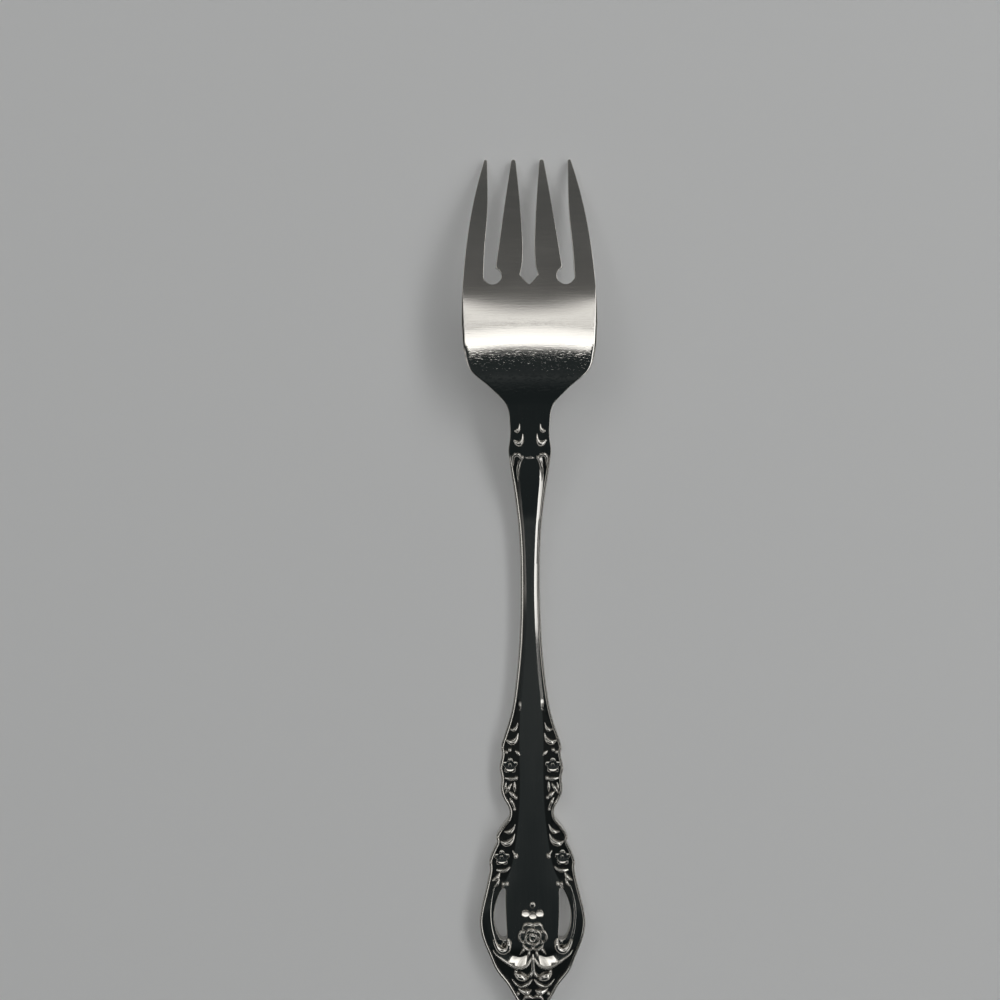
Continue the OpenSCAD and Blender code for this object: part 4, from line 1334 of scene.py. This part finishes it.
flower_piece("upper_rosettes", [(-3.94, 112.3), (3.94, 112.3)], ROSETTE)
flower_piece("lower_rosettes", [(-5.6, 129.2), (5.6, 129.2)], ROSETTE)
flower_piece("rose", [(0, rose_at)], ROSE)
flower_piece("rose_bud", [(0, bud_at)], ROSE_BUD)

# %% [markdown]
# ## Floor
# The fork lies on a plain pale floor, so that its edges and its soft shadow read clearly. It is one large
# matt plane. More light would make it paler, but it would bleach the steel too, so the floor has a weak
# glow instead, only for the rays that see it: those from the camera, and those that metal or glass sends
# on.

# %% Floor
floor_reach = 3.0
floor_glow = 0.08


def seen_share(tree):
    """1 for rays that see the background, straight from the camera or by way of metal or glass."""
    ray = add(tree, "ShaderNodeLightPath").outputs
    seen = add(tree, "ShaderNodeMath", {0: ray["Is Camera Ray"], 1: ray["Is Glossy Ray"]}, operation="ADD")
    return add(tree, "ShaderNodeMath", {0: seen, 1: ray["Is Transmission Ray"]}, operation="ADD")


corners = [(x * floor_reach, y * floor_reach, 0) for x, y in ((-1, -1), (1, -1), (1, 1), (-1, 1))]
floor_mesh = bpy.data.meshes.new("floor")
floor_mesh.from_pydata(corners, [], [(0, 1, 2, 3)])
floor = bpy.data.objects.new("floor", floor_mesh)
bpy.context.scene.collection.objects.link(floor)
floor_paint = bpy.data.materials.new("matt_pale_grey_paint")
floor_paint.use_nodes = True
floor_tree = floor_paint.node_tree
matt = floor_tree.nodes["Principled BSDF"]
matt.inputs["Base Color"].default_value = linear("#dfe0e0")
matt.inputs["Roughness"].default_value = 0.9
matt.inputs["Emission Color"].default_value = linear("#ffffff")
glow = add(floor_tree, "ShaderNodeMath", {0: seen_share(floor_tree), 1: floor_glow}, operation="MULTIPLY")
floor_tree.links.new(glow.outputs[0], matt.inputs["Emission Strength"])
floor_mesh.materials.append(floor_paint)
print("floor side in metres:", 2 * floor_reach)

# %% [markdown]
# ## Light
# A mirror shows the room, so the room is most of the look. The studio is a dome whose light depends on the
# angle from straight up towards the tines: a lit ceiling panel with a sharp near edge, grey beyond it, and
# low light from a window wall past the tips. Overhead and behind the handle it is dark, so flats stay dark
# and edges are drawn by light. On the handle's half of the sky light also comes from both sides, and low
# down there is a pale backdrop for the rays that see it. The same could be built from lamps and cards, but
# a rule in the world is easier to steer.

# %% Studio dome
DOME = [
    (-90, 0.03), (-60, 0.03), (-40, 0.022), (-14, 0.014), (-10, 0.035), (-8, 0.05), (-5, 0.03), (0, 0.025),
    (8.3, 0.04), (8.8, 2.4), (10.5, 2.0), (12, 1.65), (13.8, 1.5), (14.2, 1.4), (14.5, 0.3), (14.9, 0.3),
    (15.2, 1.25), (16, 1.25), (18.6, 0.8), (20.6, 0.3), (22.6, 0.17), (25, 0.12), (27.5, 0.1), (56, 0.088),
    (70, 0.088), (76, 0.8), (90, 1.1),
]
brightest = max(radiance for angle, radiance in DOME)
world = bpy.data.worlds.new("studio")
world.use_nodes = True
bpy.context.scene.world = world
sky = world.node_tree
toward = add(sky, "ShaderNodeSeparateXYZ", {0: add(sky, "ShaderNodeTexCoord").outputs["Generated"]}).outputs
angle = add(sky, "ShaderNodeMath", {0: toward["Y"], 1: toward["Z"]}, operation="ARCTAN2")
share = add(sky, "ShaderNodeMapRange", {0: angle, 1: -math.pi / 2, 2: math.pi / 2})
ramp = add(sky, "ShaderNodeValToRGB", {0: share})
for stop, (degrees, radiance) in enumerate(DOME):
    at = (degrees + 90) / 180
    point = ramp.color_ramp.elements[stop] if stop < 2 else ramp.color_ramp.elements.new(at)
    grey = radiance / brightest
    point.position, point.color = at, (grey, grey, grey, 1)
print("dome stops:", len(ramp.color_ramp.elements))

# %% Sides and backdrop of the studio
left_radiance, right_radiance = 0.75, 0.45
dim_radiance, backdrop_radiance = 0.012, 0.36
dome_full, dome_gone = 0.5, 0.8
side_from, side_full = 0.65, 0.85
behind_soft = math.radians(6)
backdrop_full, backdrop_gone = 0.30, 0.42
cool_below, warm_above = 0.02, 0.12
aside = add(sky, "ShaderNodeMath", {0: toward["X"]}, operation="ABSOLUTE")
within = add(sky, "ShaderNodeMapRange", {0: aside, 1: dome_full, 2: dome_gone, 3: brightest, 4: 0.0})
to_right = add(sky, "ShaderNodeMapRange",
               {0: toward["X"], 1: side_from, 2: side_full, 3: 0.0, 4: right_radiance})
to_left = add(sky, "ShaderNodeMapRange",
              {0: toward["X"], 1: -side_from, 2: -side_full, 3: 0.0, 4: left_radiance})
sides = add(sky, "ShaderNodeMath", {0: to_right, 1: to_left}, operation="ADD")
behind = add(sky, "ShaderNodeMapRange", {0: angle, 1: behind_soft, 2: -behind_soft})
low_down = add(sky, "ShaderNodeMapRange",
               {0: toward["Z"], 1: backdrop_full, 2: backdrop_gone, 3: 1.0, 4: 0.0})
higher_up = add(sky, "ShaderNodeMath", {0: 1.0, 1: low_down}, operation="SUBTRACT")
high_sides = add(sky, "ShaderNodeMath", {0: sides, 1: higher_up}, operation="MULTIPLY")
low_sides = add(sky, "ShaderNodeMath", {0: high_sides, 1: behind, 2: dim_radiance}, operation="MULTIPLY_ADD")
dome = add(sky, "ShaderNodeMath", {0: ramp, 1: within, 2: low_sides}, operation="MULTIPLY_ADD")
on_backdrop = add(sky, "ShaderNodeMath", {0: low_down, 1: seen_share(sky)}, operation="MULTIPLY")
backdrop = add(sky, "ShaderNodeMath", {0: on_backdrop, 1: backdrop_radiance}, operation="MULTIPLY")
studio_light = add(sky, "ShaderNodeMath", {0: dome, 1: backdrop}, operation="MAXIMUM")
sky.links.new(studio_light.outputs[0], sky.nodes["Background"].inputs["Strength"])
warmth = add(sky, "ShaderNodeMapRange", {0: studio_light, 1: cool_below, 2: warm_above})
colour = add(sky, "ShaderNodeMix", {0: warmth, 6: linear("#b4cfd6"), 7: linear("#fffefc")}, data_type="RGBA")
sky.links.new(colour.outputs[2], sky.nodes["Background"].inputs["Color"])
print("light of the backdrop against the brightest:", round(backdrop_radiance / brightest, 2))

# %% [markdown]
# ## Lamps
# One narrow soft strip stands to the right, half way up, and draws the long highlight on the shank's bevel.
# Two square windows past the tips light the sides of the ornament that face them. They could be patches of
# the dome, but the renderer aims at a lamp directly, so a small one leaves less noise.


# %% Lamps
def soft_panel(name, centre, aim, width, depth, radiance):
    """A rectangular lamp that faces a point."""
    lamp = bpy.data.lights.new(name, "AREA")
    lamp.shape = "RECTANGLE"
    lamp.size, lamp.size_y, lamp.energy = width, depth, radiance * math.pi * width * depth
    panel = bpy.data.objects.new(name, lamp)
    panel.location = centre
    direction = np.array(aim, float) - np.array(centre, float)
    tilt = math.atan2(math.hypot(direction[0], direction[1]), -direction[2])
    panel.rotation_euler = (tilt, 0, math.atan2(-direction[0], direction[1]))
    bpy.context.scene.collection.objects.link(panel)
    return panel


soft_panel("side_strip", (0.85, -0.05, 0.85), aim=(0, -0.05, 0), width=1.8, depth=0.3, radiance=1.7)
soft_panel("left_window", (-0.6, 0.66, 0.72), aim=(0, 0, 0), width=0.5, depth=0.5, radiance=1.2)
soft_panel("right_window", (0.6, 0.66, 0.72), aim=(0, 0, 0), width=0.5, depth=0.5, radiance=1.8)
print("lamps:", [lamp.name for lamp in bpy.data.lights])

# %% [markdown]
# ## Camera
# The camera looks straight down from about the height of a held hand, with the fork a little below its
# middle. A longer lens from further off would show the fork flatter. This one keeps the slight spread of a
# close view, in which the arched head comes out a little larger than the handle.

# %% Camera
camera_place = (-0.0055, 0.0163, 0.240)
camera_turn = math.radians(-0.38)
camera = bpy.data.objects.new("camera", bpy.data.cameras.new("camera"))
camera.location = camera_place
camera.rotation_euler = (0, 0, camera_turn)
camera.data.sensor_width = 36.0
camera.data.lens = 46.35
camera.data.clip_start = 0.005
bpy.context.scene.collection.objects.link(camera)
bpy.context.scene.camera = camera
bpy.context.scene.view_settings.view_transform = "Standard"
print("lens in mm:", round(camera.data.lens, 2), "height in metres:", camera_place[2])
